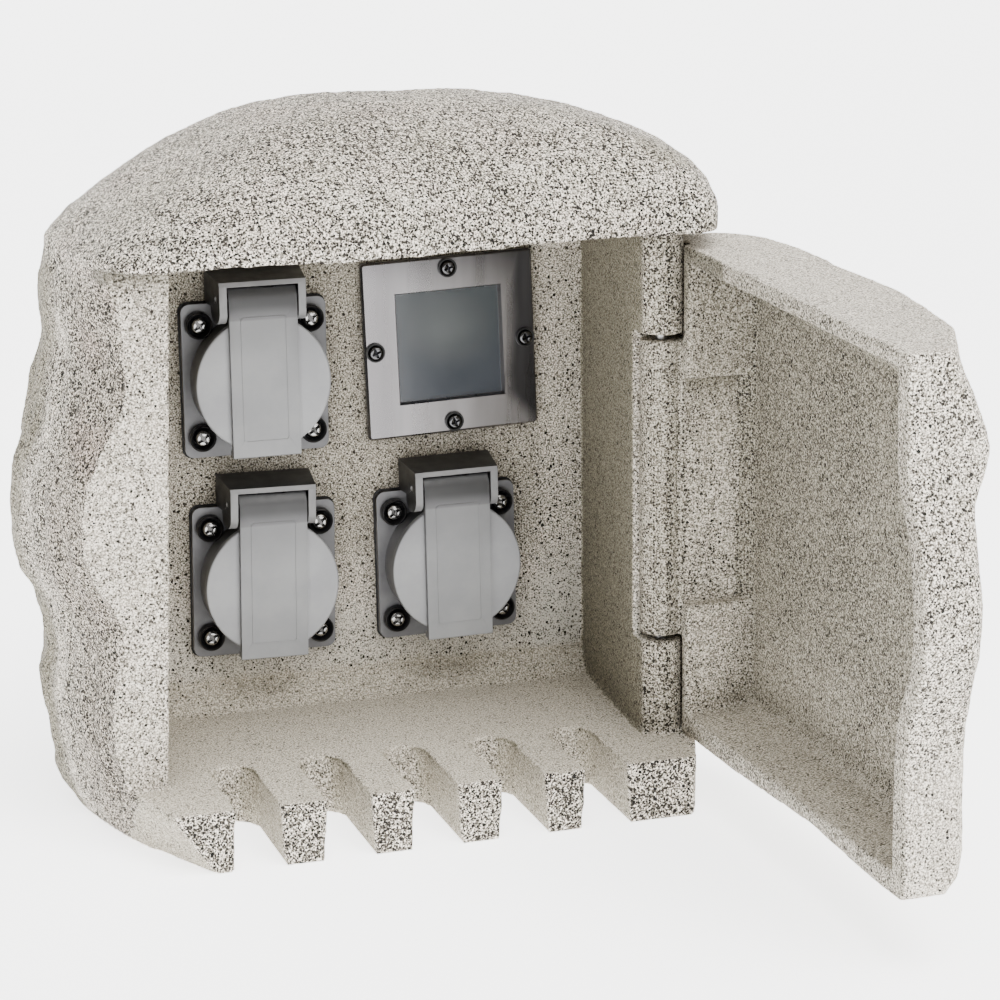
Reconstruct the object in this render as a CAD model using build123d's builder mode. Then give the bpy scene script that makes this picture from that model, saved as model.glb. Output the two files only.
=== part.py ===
"""Stone-look garden power distributor: a cast housing with a hinged cast door,
three flush earthed sockets with sprung flaps, a square light module and the
wiring chamber behind the panel.  Millimetres, +Z up.

Origin: middle of the flat base.  The front (door side) faces -Y.
The door is drawn shut and then swung open by DOOR_REST degrees.
"""

import math
import os

from build123d import *

os.makedirs("parts", exist_ok=True)

# --------------------------------------------------------------------------
# driving dimensions
# --------------------------------------------------------------------------
# panel datum: middle of the upper left socket on the front face of the panel
OX, OY, OZ = -30.0, 20.0, 135.0

# compartment, measured from the panel datum (x right, y back, z up)
LAND_Y = -75.0            # flat front land of the left wall
INNER_LEFT = -49.0        # inside face of the left wall at the shelf
INNER_LEFT_TOP = -42.6    # and under the brow
INNER_RIGHT_BACK = 116.5  # inside face of the right wall at the panel
INNER_RIGHT_FRONT = 111.4
WALL_END_X, WALL_END_Y = 110.9, -64.5     # front edge of the right wall by the barrel
CEILING = 54.0            # underside of the brow
SHELF_TOP = -115.0
BASE = -135.0
PANEL_T = 8.0
SHELF_FRONT = -102.0

# comb slots in the shelf
SLOT_X = [-26.6, 2.6, 31.1, 60.2, 88.2]
SLOT_W = 14.0
SLOT_END = -59.5
SLOT_TAPER = 3.5

# wiring chamber behind the panel
CH_X0, CH_X1 = -28.0, 98.0
CH_Z0, CH_Z1 = -123.0, 40.0
CH_BACK = 54.0
LEDGE = 8.0               # width of the seat of the rear cover
SEAT_R = 5.0
COVER_T = 3.0
GASKET_T = 2.0
BACK_Y = 61.0

# door hinge
HX, HY = 118.4, -71.4
KNUCKLE_R = 7.0
KNUCKLE_GAP = 0.6
PIN_R = 2.0
UPPER_Z0 = 19.3           # fixed upper knuckle from here to the brow
LOWER_Z1 = -83.0          # fixed lower knuckle from the shelf to here
BARREL_Z0, BARREL_Z1 = -81.2, 17.4
RECESS_R = 8.6            # hollow of the door round a fixed knuckle
DOOR_RIM_Y = -76.0
DOOR_REST = 90.0
TRAY_Y = -99.5
DOOR_TOP_HINGE, DOOR_TOP_FREE = 48.4, 43.6
DOOR_X1 = 133.0

# sockets: centre x, z on the panel and roll in its own plane
SOCKETS = {
    "upper_left": (0.0, 0.0, 0.1),
    "lower_left": (1.0, -69.6, -1.0),
    "lower_mid": (65.8, -69.0, 0.7),
}
FLANGE_W, FLANGE_H, FLANGE_T, FLANGE_R = 49.4, 52.0, 2.4, 3.0
SCREW_PITCH = 38.0
COLLAR_R, COLLAR_TOP = 22.2, 10.6
WELL_R, WELL_FLOOR = 19.6, -7.0
CUP_R, CUP_DEPTH = 20.9, 26.0
PANEL_HOLE_R = 21.3
GASKET_FLANGE_T = 0.6
LID_R, LID_Y0, LID_Y1 = 22.9, 12.6, 15.1
STRAP_W, STRAP_Y1, STRAP_BOTTOM = 22.9, 17.1, -23.2
LID_PIN_V, LID_PIN_W, LID_PIN_R = 28.8, 13.2, 1.0
LID_BARREL_R = 3.9
ARM_X0, ARM_X1 = 12.0, 14.6
CONTACT_X = 9.5           # half of the pin pitch

# light module
LIGHT = (68.1, 6.2, 1.9)
LIGHT_W, LIGHT_H = 60.4, 60.8
PANE_W, PANE_H = 36.4, 37.2
LIGHT_SCREW = 26.6
LIGHT_CUT = 45.0

# --------------------------------------------------------------------------
# reference planes
# --------------------------------------------------------------------------
def level(z):
    """Horizontal plane at height z over the panel datum."""
    return Plane(origin=(OX, OY, OZ + z), x_dir=(1, 0, 0), z_dir=(0, 0, 1))


def front(x, z, roll=0.0):
    """Plane on the panel face, local z towards the viewer."""
    a = math.radians(roll)
    return Plane(
        origin=(OX + x, OY, OZ + z),
        x_dir=(math.cos(a), 0, math.sin(a)),
        z_dir=(0, -1, 0),
    )


def face_y(y):
    """Front-view plane at depth y, local z towards the viewer."""
    return Plane(origin=(OX, OY + y, OZ), x_dir=(1, 0, 0), z_dir=(0, -1, 0))


def side(p, x):
    """Side-view plane of a fixture at local x: local x backwards, local y up."""
    return Plane(origin=p.origin + p.x_dir * x, x_dir=p.z_dir * -1, z_dir=p.x_dir)


def lerp(table, z):
    """Linear look-up in a list of (z, value) pairs in falling z."""
    if z >= table[0][0]:
        return table[0][1]
    for (z1, v1), (z0, v0) in zip(table, table[1:]):
        if z >= z0:
            return v0 + (v1 - v0) * (z - z0) / (z1 - z0)
    return table[-1][1]


finished = []


def keep(piece, label):
    piece.part.label = label
    export_step(piece.part, f"parts/{label}.step")
    finished.append((label, piece.part))


# --------------------------------------------------------------------------
# rock outline, as plan curves at many heights
# --------------------------------------------------------------------------
# outer edge of the front land of the left wall, (z, x)
LAND_EDGE = [
    (54, -65.0), (49, -63.2), (45, -61.9), (37, -59.6), (29, -57.7), (17, -57.3),
    (10, -58.6), (3, -60.9), (-2, -63.6), (-8, -67.0), (-16, -70.6), (-24, -72.3),
    (-33, -72.8), (-40, -71.6), (-44, -69.8), (-53, -65.0), (-61, -61.9), (-71, -62.1),
    (-84, -63.7), (-92, -64.8), (-104, -64.3), (-115, -61.8), (-125, -59.0),
    (-135, -54.5),
]
# slanted distance of the left flank, (z, u) with u = 0.951 x - 0.309 y
FLANK = [
    (54, -65.4), (46, -66.4), (41, -68.0), (35, -68.9), (28, -68.2), (21.6, -67.3),
    (15.4, -69.5), (6.5, -71.8), (-2.3, -74.1), (-11.3, -75.9), (-19.3, -78.6),
    (-30, -79.6), (-40, -80.4), (-49, -79.8), (-53.4, -78.0), (-60.6, -74.4),
    (-69, -72.8), (-75.2, -71.0), (-82.5, -71.7), (-89.3, -73.4), (-99, -72.4),
    (-109.6, -70.4), (-121, -69.9), (-127.6, -67.8), (-135, -63.4),
]
RIGHT = [(54, 143.0), (30, 141.5), (0, 142.5), (-40, 140.0), (-80, 138.0),
         (-110, 136.0), (-125, 133.5), (-135, 130.0)]


def flank_x(z, y):
    return (lerp(FLANK, z) + 1.8 + 0.309 * y) / 0.951


def plan(z):
    """Plan curve of the rock at height z (z up to the ceiling height)."""
    xl = lerp(LAND_EDGE, z)
    xr = lerp(RIGHT, z)
    xb = flank_x(z, -15) + 1.5
    low = min(1.0, max(0.0, (z - BASE) / 12.0))
    back = BACK_Y - 3.0 * (1 - low)
    left = [
        (xl, LAND_Y),
        (xl + 0.42 * (xb - xl), -60.0),
        (xl + 0.78 * (xb - xl), -42.0),
        (xb, -15.0),
        (flank_x(z, 4) + 0.3, 4.0),
        (flank_x(z, 26) + 1.4, 26.0),
        (flank_x(z, 43) + 5.5, 43.0),
        (flank_x(z, 54) + 14.0, back - 4.0),
        (flank_x(z, 60) + 28.0, back),
    ]
    rear = [(5.0, back + 1.2), (35.0, back + 1.6), (70.0, back + 1.2)]
    right = [
        (xr - 34.0, back), (xr - 19.0, back - 4.5), (xr - 10.0, 44.0),
        (xr - 4.5, 27.0), (xr - 1.2, 5.0), (xr, -18.0), (xr - 0.3, -38.0),
        (xr - 2.0, -54.0), (xr - 5.5, -70.0), (xr - 9.0, -80.0),
    ]
    face = [
        (xr - 14.0, -88.0), (xr - 22.0, -90.6), (xr - 38.0, -91.2),
        (84.0, -92.6), (64.0, -94.6), (41.5, -98.8), (14.0, -102.8),
        (-10.0, -102.4), (-30.0, -100.4), (-46.0, -96.4), (-57.0, -88.6),
    ]
    return left + rear + right + face


# dome above the brow edge: (z, scale, middle x, middle y)
DOME_TOP = 95.0


# half width of the left side of the dome against its height, (height share, scale)
DOME_LEFT = [(1.0, 0.05), (0.976, 0.20), (0.9, 0.36), (0.85, 0.43), (0.756, 0.505),
             (0.67, 0.588), (0.61, 0.638), (0.53, 0.702), (0.415, 0.775), (0.33, 0.826),
             (0.22, 0.892), (0.1, 0.955), (0.0, 1.0)]


def dome(z):
    h = (z - CEILING) / (DOME_TOP - CEILING)
    sl = lerp(DOME_LEFT, h)
    sr = (1 - h ** 2.3) ** 0.5 + 0.05 * math.sin(math.pi * min(1.0, h)) * h
    sy = (1 - h ** 1.9) ** 0.5
    mx, my = 34.0 + 2.0 * h, -26.0
    base = plan(CEILING)
    return [(mx + (x - 34.0) * (sl if x < 34.0 else sr), my + (y + 26.0) * sy)
            for x, y in base]


LEVELS = [BASE, -128, -121, -115, -104, -96, -90, -84, -78, -71, -66, -61, -57,
          -53, -48, -44, -38, -33, -28, -24, -20, -16, -12, -8, -2, 5, 11, 17,
          23, 29, 33, 37, 41, 45, 49, CEILING]
DOMES = [58.0, 63.0, 68.0, 73.0, 78.0, 82.5, 86.5, 89.8, 92.2, 94.0]

# slab with the comb: outline of the shelf in plan
SHELF_OUT = [(-53.0, -99.5), (-51.4, SHELF_FRONT), (118.4, SHELF_FRONT),
             (119.8, -100.0), (124.4, -88.0), (130.2, -72.0), (133.2, -58.0),
             (110.0, -30.0), (-50.0, -30.0), (-61.0, -66.0), (-61.6, -76.0)]
SHELF_LOW = [(-41.5, -100.0), (-39.6, SHELF_FRONT), (118.0, SHELF_FRONT),
             (119.4, -100.0), (123.8, -88.0), (129.0, -72.0), (131.8, -58.0),
             (110.0, -30.0), (-44.0, -30.0), (-57.0, -66.0), (-53.0, -76.0)]

# --------------------------------------------------------------------------
# rock housing
# --------------------------------------------------------------------------
with BuildPart() as rock_housing:
    # whole rock
    for z in LEVELS:
        with BuildSketch(level(z)):
            with BuildLine():
                Spline(*plan(z), periodic=True)
            make_face()
    for z in DOMES:
        with BuildSketch(level(z)):
            with BuildLine():
                Spline(*dome(z), periodic=True)
            make_face()
    loft(ruled=True)

    # clear the space in front of the land and under the brow for the door
    with BuildSketch(face_y(LAND_Y)):
        with BuildLine():
            Polyline((-120, BASE - 5), (-120, 51.0), (-66, 51.2), (-56, 51.3),
                     (-46, 52.2), (-36, 53.4), (-25, CEILING), (200, CEILING),
                     (200, BASE - 5), close=True)
        make_face()
    extrude(amount=80, mode=Mode.SUBTRACT)
    # clear the corner where the hinge end of the door swings
    with BuildSketch(level(BASE - 5)):
        with BuildLine():
            Polyline((119.2, -130), (119.2, -53.5), (122.0, -48.0), (180, -44.5),
                     (180, -130), close=True)
        make_face()
    extrude(amount=CEILING - BASE + 5, mode=Mode.SUBTRACT)

    # shelf slab
    with BuildSketch(level(BASE)):
        with BuildLine():
            Polyline(*SHELF_LOW, close=True)
        make_face()
    with BuildSketch(level(-118.0)):
        with BuildLine():
            Polyline(*SHELF_OUT, close=True)
        make_face()
    loft(ruled=True)
    with BuildSketch(level(-118.0)):
        with BuildLine():
            Polyline(*SHELF_OUT, close=True)
        make_face()
    extrude(amount=SHELF_TOP + 118.0)

    # compartment, its left wall leaning in towards the brow
    for z, left in ((SHELF_TOP, INNER_LEFT), (CEILING, INNER_LEFT_TOP)):
        with BuildSketch(level(z)):
            with BuildLine():
                Polyline((left, LAND_Y - 5), (left + 1.0, 0), (INNER_RIGHT_BACK, 0),
                         (WALL_END_X, WALL_END_Y), (WALL_END_X, LAND_Y - 5), close=True)
            make_face()
    loft(ruled=True, mode=Mode.SUBTRACT)
    # cove along the foot of the panel
    with BuildSketch(Plane(origin=(OX + INNER_LEFT - 1, OY, OZ),
                           x_dir=(0, 1, 0), z_dir=(1, 0, 0))):
        with BuildLine():
            Polyline((1, SHELF_TOP - 1), (1, SHELF_TOP + 7.5), (-0.6, SHELF_TOP + 7.5),
                     (-4.0, SHELF_TOP + 3.5), (-6.5, SHELF_TOP), (-6.5, SHELF_TOP - 1),
                     close=True)
        make_face()
    extrude(amount=INNER_RIGHT_BACK - INNER_LEFT + 2)

    # comb slots through the shelf
    for x in SLOT_X:
        with BuildSketch(level(SHELF_TOP + 0.5)):
            with Locations((x, (SLOT_END - 130.0) / 2)):
                SlotOverall(130.0 + SLOT_END, SLOT_W, rotation=90)
        extrude(amount=-(SHELF_TOP - BASE + 1.5), taper=-SLOT_TAPER, mode=Mode.SUBTRACT)

    # fixed hinge knuckles
    with BuildSketch(level(UPPER_Z0)):
        with Locations((HX, HY)):
            Circle(KNUCKLE_R)
    extrude(amount=CEILING - UPPER_Z0 + 1.0)
    with BuildSketch(level(SHELF_TOP - 2.0)):
        with Locations((HX, HY)):
            Circle(KNUCKLE_R)
    extrude(amount=LOWER_Z1 - SHELF_TOP + 2.0)
    # room for the turning barrel of the door
    with BuildSketch(level(LOWER_Z1)):
        with Locations((HX, HY)):
            Circle(KNUCKLE_R + KNUCKLE_GAP)
        with Locations(((WALL_END_X + HX) / 2 - 0.5, WALL_END_Y - 6.0)):
            Rectangle(HX - WALL_END_X + 1.0, 12.0)
    extrude(amount=UPPER_Z0 - LOWER_Z1, mode=Mode.SUBTRACT)
    # pin holes
    with BuildSketch(level(UPPER_Z0 - 1.0)):
        with Locations((HX, HY)):
            Circle(PIN_R + 0.01)
    extrude(amount=24.0, mode=Mode.SUBTRACT)
    with BuildSketch(level(LOWER_Z1 + 1.0)):
        with Locations((HX, HY)):
            Circle(PIN_R + 0.01)
    extrude(amount=-24.0, mode=Mode.SUBTRACT)

    # wiring chamber, its cover seat and screw holes
    cw, chh = CH_X1 - CH_X0, CH_Z1 - CH_Z0
    cx, cz = (CH_X0 + CH_X1) / 2, (CH_Z0 + CH_Z1) / 2
    with BuildSketch(face_y(90.0)):
        with Locations((cx, cz)):
            RectangleRounded(cw, chh, 5)
    extrude(amount=90.0 - PANEL_T, mode=Mode.SUBTRACT)
    with BuildSketch(face_y(90.0)):
        with Locations((cx, cz)):
            RectangleRounded(cw + 2 * LEDGE, chh + 2 * LEDGE, SEAT_R)
    extrude(amount=90.0 - CH_BACK, mode=Mode.SUBTRACT)
    with BuildSketch(face_y(CH_BACK + 1.0)):
        with Locations((cx, cz)):
            with GridLocations(cw + LEDGE, (chh + LEDGE) / 2, 2, 3):
                Circle(1.6)
    extrude(amount=13.0, mode=Mode.SUBTRACT)

    # panel cut-outs and screw holes of the fixtures
    for x, z, roll in SOCKETS.values():
        with BuildSketch(front(x, z, roll).offset(1.0)):
            Circle(PANEL_HOLE_R)
        extrude(amount=-(PANEL_T + 2.0), mode=Mode.SUBTRACT)
        with BuildSketch(front(x, z, roll).offset(1.0)):
            with GridLocations(SCREW_PITCH, SCREW_PITCH, 2, 2):
                Circle(1.75)
        extrude(amount=-(PANEL_T + 2.0), mode=Mode.SUBTRACT)
    with BuildSketch(front(*LIGHT).offset(1.0)):
        RectangleRounded(LIGHT_CUT, LIGHT_CUT, 2)
    extrude(amount=-(PANEL_T + 2.0), mode=Mode.SUBTRACT)
    with BuildSketch(front(*LIGHT).offset(1.0)):
        with Locations((LIGHT_SCREW, 0), (-LIGHT_SCREW, 0), (0, LIGHT_SCREW), (0, -LIGHT_SCREW)):
            Circle(1.25)
    extrude(amount=-(PANEL_T + 2.0), mode=Mode.SUBTRACT)
keep(rock_housing, "rock_housing")

# --------------------------------------------------------------------------
# door, drawn shut
# --------------------------------------------------------------------------
# free edge of the door seen from the front, (z, x)
DOOR_EDGE = [(44, -53.3), (31, -53.8), (20, -54.0), (9, -55.2), (2, -58.0), (-6, -62.0),
             (-14, -64.4), (-22, -66.0), (-32, -67.0), (-41, -66.2), (-51, -62.6),
             (-61, -58.2), (-71, -56.9), (-82, -56.7), (-96, -56.9), (-111, -57.1)]
# depth of the front face at the free edge, (z, y)
DOOR_END = [(50, -86.2), (45, -90.4), (38, -93.8), (31, -97.4), (23.6, -100.0), (20, -101.4),
            (15, -102.2), (11, -101.2), (7, -99.6), (3, -97.2), (0, -95.8), (-4, -95.0),
            (-12, -94.8), (-21, -95.0), (-29, -95.2), (-40, -94.8), (-50, -94.8), (-63, -95.2),
            (-82, -95.5), (-93, -95.9), (-100, -95.9), (-107, -94.8), (-112, -91.2),
            (-113, -90.0)]
# depth of the middle of the front face, (z, y)
DOOR_FACE = [(50, -108.0), (44, -109.6), (30, -111.0), (0, -112.0), (-40, -112.0),
             (-80, -110.5), (-104, -108.0), (-113, -105.0)]
DOOR_LEVELS = [50.0, 45.0, 38.0, 31.0, 23.6, 20.0, 15.0, 11.0, 7.0, 3.0, 0.0, -4.0,
               -12.0, -21.0, -29.0, -40.0, -50.0, -63.0, -80.0, -92.0, -100.0, -107.0,
               -114.5]


def door_plan(z):
    e = lerp(DOOR_END, z)
    m = lerp(DOOR_FACE, z)
    x0 = lerp(DOOR_EDGE, z) - 1.0
    return [(x0, DOOR_RIM_Y), (x0, e + 9.0), (x0 + 0.6, e + 3.6), (x0 + 3.6, e + 0.4),
            (x0 + 10.0, e - 1.6), (-30.0, 0.45 * e + 0.55 * m), (-10.0, 0.2 * e + 0.8 * m),
            (10.0, m + 0.6), (38.0, m - 0.4), (64.0, m + 0.4), (88.0, m - 0.8),
            (104.0, m - 0.2), (115.0, m + 2.2), (124.0, m + 4.8), (129.8, m + 9.4),
            (DOOR_X1 - 0.2, m + 16.0), (DOOR_X1, m + 24.0), (DOOR_X1 - 0.6, DOOR_RIM_Y)]


# hollow of the door: (depth, insets from the free edge, the top, the foot, the hinge)
TRAY = [(DOOR_RIM_Y + 1.0, 7.4, 4.6, 4.6, 0.0), (DOOR_RIM_Y - 8.0, 8.8, 7.0, 5.2, 0.0),
        (-91.0, 13.5, 9.8, 5.6, 0.2), (-95.5, 22.0, 12.5, 6.2, 0.6),
        (TRAY_Y, 36.0, 17.5, 9.0, 5.0)]


def tray_line(inset_left, inset_top, inset_bottom, right):
    """Front-view outline of the hollow of the door."""
    pts = [(x + inset_left, z) for z, x in DOOR_EDGE if -104 < z < 40]
    return ([(pts[0][0], 43.8 - inset_top)] + pts[1:-1]
            + [(pts[-1][0], -110.0 + inset_bottom), (right, -112.0 + inset_bottom),
               (right, 48.0 - inset_top)])


with BuildPart() as rock_door:
    for z in DOOR_LEVELS:
        with BuildSketch(level(z)):
            with BuildLine():
                pts = door_plan(z)
                Spline(*pts)
                Line(pts[-1], pts[0])
            make_face()
    loft(ruled=True)
    # trim to the outline seen from the front
    with BuildSketch(face_y(-60.0)):
        with BuildLine():
            edge = [(x, z) for z, x in DOOR_EDGE[1:-1]]
            Polyline((-53.4, 41.0), (-51.4, DOOR_TOP_FREE), (-20, 44.6), (30, 46.4),
                     (90, 48.0), (130.0, DOOR_TOP_HINGE), (140, DOOR_TOP_HINGE),
                     (140, -114.2), (90, -114.2), (62, -113.4), (40, -112.4), (20, -111.3),
                     (6, -110.7), (-16, -111.7), (-38, -112.6), (-55.2, -112.2),
                     (-57.0, -110.4))
            Spline((-57.0, -110.4), *[(x, z) for x, z in reversed(edge[:-1])],
                   (-53.4, 41.0))
        make_face()
    extrude(amount=80, mode=Mode.INTERSECT)
    # tray
    for y, left, top, bottom, right in TRAY:
        with BuildSketch(face_y(y)):
            with BuildLine():
                Polyline(*tray_line(left, top, bottom, INNER_RIGHT_FRONT - right), close=True)
            make_face()
    loft(ruled=True, mode=Mode.SUBTRACT)
    # raised blocks inside, behind the fixed knuckles
    with BuildSketch(face_y(DOOR_RIM_Y)):
        with Locations(((INNER_RIGHT_FRONT + 106.8) / 2 + 1.0, (5.5 + 46.0) / 2)):
            RectangleRounded(INNER_RIGHT_FRONT - 106.8 + 2.0, 40.5, 1.5)
        with Locations(((INNER_RIGHT_FRONT + 106.8) / 2 + 1.0, (-70.0 - 111.0) / 2)):
            RectangleRounded(INNER_RIGHT_FRONT - 106.8 + 2.0, 41.0, 1.5)
    extrude(amount=DOOR_RIM_Y - TRAY_Y + 2.0)
    # turning barrel in the middle of the hinge
    with BuildSketch(level(BARREL_Z0)):
        with Locations((HX, HY)):
            Circle(KNUCKLE_R)
        with Locations((HX + 1.05, HY - 3.4)):
            Rectangle(11.1, 6.0)
    extrude(amount=BARREL_Z1 - BARREL_Z0)
    # room for the fixed knuckles
    with BuildSketch(level(BARREL_Z1)):
        with Locations((HX, HY)):
            Circle(RECESS_R)
    extrude(amount=60, mode=Mode.SUBTRACT)
    with BuildSketch(level(BARREL_Z0)):
        with Locations((HX, HY)):
            Circle(RECESS_R)
    extrude(amount=-60, mode=Mode.SUBTRACT)
    # pin holes
    with BuildSketch(level(BARREL_Z1)):
        with Locations((HX, HY)):
            Circle(PIN_R + 0.06)
    extrude(amount=-22.4, mode=Mode.SUBTRACT)
    with BuildSketch(level(BARREL_Z0)):
        with Locations((HX, HY)):
            Circle(PIN_R + 0.06)
    extrude(amount=21.0, mode=Mode.SUBTRACT)
hinge_axis = Axis((OX + HX, OY + HY, OZ), (0, 0, 1))
rock_door.part = rock_door.part.rotate(hinge_axis, DOOR_REST)
keep(rock_door, "rock_door")

with BuildPart() as hinge_pin_upper:
    with BuildSketch(level(-4.4)):
        with Locations((HX, HY)):
            Circle(PIN_R)
    extrude(amount=43.8)
    chamfer(hinge_pin_upper.faces().filter_by(Axis.Z).edges(), 0.4)
keep(hinge_pin_upper, "hinge_pin_upper")

with BuildPart() as hinge_pin_lower:
    with BuildSketch(level(-105.4)):
        with Locations((HX, HY)):
            Circle(PIN_R)
    extrude(amount=43.6)
    chamfer(hinge_pin_lower.faces().filter_by(Axis.Z).edges(), 0.4)
keep(hinge_pin_lower, "hinge_pin_lower")

# --------------------------------------------------------------------------
# sockets
# --------------------------------------------------------------------------
CUP_PIN_R = 1.25          # lead holes in the back of a socket
SCREW_OUT = 3.8           # seat of a screw head over the panel
INSERT_BACK = -23.9
for name, (sx, sz, roll) in SOCKETS.items():
    p = front(sx, sz, roll)
    tag = f"socket_{name}"

    with BuildPart() as body:
        # hinge hood
        with BuildSketch(p.offset(GASKET_FLANGE_T + 1.0)):
            with Locations((0, (20.6 + 37.0) / 2)):
                Rectangle(32.2, 37.0 - 20.6)
        with BuildSketch(p.offset(17.0)):
            with Locations((0, (20.6 + 34.8) / 2)):
                Rectangle(2 * ARM_X1, 34.8 - 20.6)
        loft(ruled=True)
        with BuildSketch(side(p, -20.0)):
            with BuildLine():
                Polyline((-1.0, 26.0), (-1.0, 38.0), (-15.6, 38.0), (-17.0, 33.4),
                         (-17.0, 25.1))
                ThreePointArc((-17.0, 25.1), (-12.5, 20.6), (-8.0, 25.1))
                Polyline((-8.0, 25.1), (-8.0, 26.0), (-1.0, 26.0))
            make_face()
        extrude(amount=40.0, mode=Mode.INTERSECT)
        with BuildSketch(p.offset(8.8)):
            with Locations((0, (10.0 + 33.2) / 2)):
                Rectangle(2 * ARM_X0, 33.2 - 10.0)
        extrude(amount=12.0, mode=Mode.SUBTRACT)
        # flange, collar and cup
        with BuildSketch(p.offset(GASKET_FLANGE_T)):
            RectangleRounded(FLANGE_W, FLANGE_H, FLANGE_R)
        extrude(amount=FLANGE_T)
        with BuildSketch(p.offset(GASKET_FLANGE_T)):
            Circle(COLLAR_R)
        extrude(amount=COLLAR_TOP - GASKET_FLANGE_T)
        with BuildSketch(p.offset(-CUP_DEPTH)):
            Circle(CUP_R)
        extrude(amount=CUP_DEPTH + GASKET_FLANGE_T)
        with BuildSketch(p.offset(-CUP_DEPTH + 2.0)):
            Circle(WELL_R)
        extrude(amount=COLLAR_TOP + 60.0, mode=Mode.SUBTRACT)
        # guide ribs in the well
        with BuildSketch(p.offset(WELL_FLOOR + 0.1)):
            with Locations((18.9, 0), (-18.9, 0)):
                Rectangle(2.6, 5.0)
        extrude(amount=15.0)
        # screw holes in the flange, lead holes in the back
        with BuildSketch(p.offset(-1.0)):
            with GridLocations(SCREW_PITCH, SCREW_PITCH, 2, 2):
                Circle(2.2)
        extrude(amount=5.0, mode=Mode.SUBTRACT)
        with BuildSketch(p.offset(-CUP_DEPTH - 1.0)):
            with Locations((CONTACT_X, 0), (-CONTACT_X, 0), (0, 17.6)):
                Circle(CUP_PIN_R)
        extrude(amount=4.0, mode=Mode.SUBTRACT)
        # pin holes in the arms
        with BuildSketch(side(p, -20.0)):
            with Locations((-LID_PIN_W, LID_PIN_V)):
                Circle(LID_PIN_R + 0.01)
        extrude(amount=40.0, mode=Mode.SUBTRACT)
    keep(body, f"{tag}_body")

    with BuildPart() as lid:
        with BuildSketch(p.offset(LID_Y0)):
            Circle(LID_R)
        extrude(amount=LID_Y1 - LID_Y0)
        fillet(lid.faces().sort_by(Axis.Y)[0].edges(), 0.7)
        # strap over the disc, bending over the pin
        with BuildSketch(p.offset(LID_Y1 - 0.4)):
            with Locations((0, (STRAP_BOTTOM + LID_PIN_V) / 2)):
                Rectangle(STRAP_W, LID_PIN_V - STRAP_BOTTOM)
        extrude(amount=STRAP_Y1 - LID_Y1 + 0.4)
        # thumb edge at the bottom of the strap
        with BuildSketch(side(p, -STRAP_W / 2)):
            with BuildLine():
                Polyline((-LID_Y0 - 0.4, -21.8), (-LID_Y0 - 0.4, STRAP_BOTTOM - 0.3),
                         (-STRAP_Y1 + 0.5, STRAP_BOTTOM - 1.0),
                         (-STRAP_Y1, STRAP_BOTTOM - 0.7), (-STRAP_Y1, -21.8), close=True)
            make_face()
        extrude(amount=STRAP_W)
        # barrel
        with BuildSketch(side(p, -STRAP_W / 2)):
            with Locations((-LID_PIN_W, LID_PIN_V)):
                Circle(LID_BARREL_R)
        extrude(amount=STRAP_W)
        # flat facet where the strap bends back over the pin
        with BuildSketch(side(p, -STRAP_W / 2 - 1.0)):
            with BuildLine():
                Polyline((-STRAP_Y1, LID_PIN_V), (-14.9, 32.5), (-14.9, 36.0),
                         (-STRAP_Y1 - 4.0, 36.0), (-STRAP_Y1 - 4.0, LID_PIN_V), close=True)
            make_face()
        extrude(amount=STRAP_W + 2.0, mode=Mode.SUBTRACT)
        # gap for the spring, then the pin bore
        with BuildSketch(side(p, -4.6)):
            with Locations((-LID_PIN_W + 1.1, LID_PIN_V)):
                Rectangle(6.0, 12.0)
        extrude(amount=9.2, mode=Mode.SUBTRACT)
        with BuildSketch(side(p, -20.0)):
            with Locations((-LID_PIN_W, LID_PIN_V)):
                Circle(LID_PIN_R + 0.06)
        extrude(amount=40.0, mode=Mode.SUBTRACT)
        # raised frame lines on the strap
        with BuildSketch(p.offset(STRAP_Y1 - 0.2)):
            with Locations((0, 2.0)):
                RectangleRounded(15.6, 42.0, 1.2)
                RectangleRounded(14.7, 41.1, 0.9, mode=Mode.SUBTRACT)
        extrude(amount=0.42)
    keep(lid, f"{tag}_lid")

    with BuildPart() as lid_seal:
        with BuildSketch(p.offset(COLLAR_TOP + 0.05)):
            Circle(22.0)
            Circle(19.9, mode=Mode.SUBTRACT)
        extrude(amount=LID_Y0 - COLLAR_TOP - 0.05)
    keep(lid_seal, f"{tag}_lid_seal")

    with BuildPart() as lid_pin:
        with BuildSketch(side(p, -ARM_X1 - 0.1)):
            with Locations((-LID_PIN_W, LID_PIN_V)):
                Circle(LID_PIN_R)
        extrude(amount=2 * ARM_X1 + 0.2)
    keep(lid_pin, f"{tag}_lid_pin")

    # close-wound coil: rings standing side by side on a thin sleeve
    with BuildPart() as lid_spring:
        with BuildSketch(side(p, -4.2)):
            with Locations((-LID_PIN_W, LID_PIN_V)):
                Circle(1.38)
                Circle(1.14, mode=Mode.SUBTRACT)
        extrude(amount=8.4)
        for k in range(12):
            with BuildSketch(side(p, -4.2 + 0.7 * k + 0.1)):
                with Locations((-LID_PIN_W, LID_PIN_V)):
                    Circle(1.6)
                    Circle(1.14, mode=Mode.SUBTRACT)
            extrude(amount=0.5)
        # leg resting on the back of the hood
        with BuildSketch(p.offset(8.85)):
            with Locations((-3.85, LID_PIN_V - 1.37)):
                Circle(0.22)
        extrude(amount=4.35)
    keep(lid_spring, f"{tag}_lid_spring")

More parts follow.
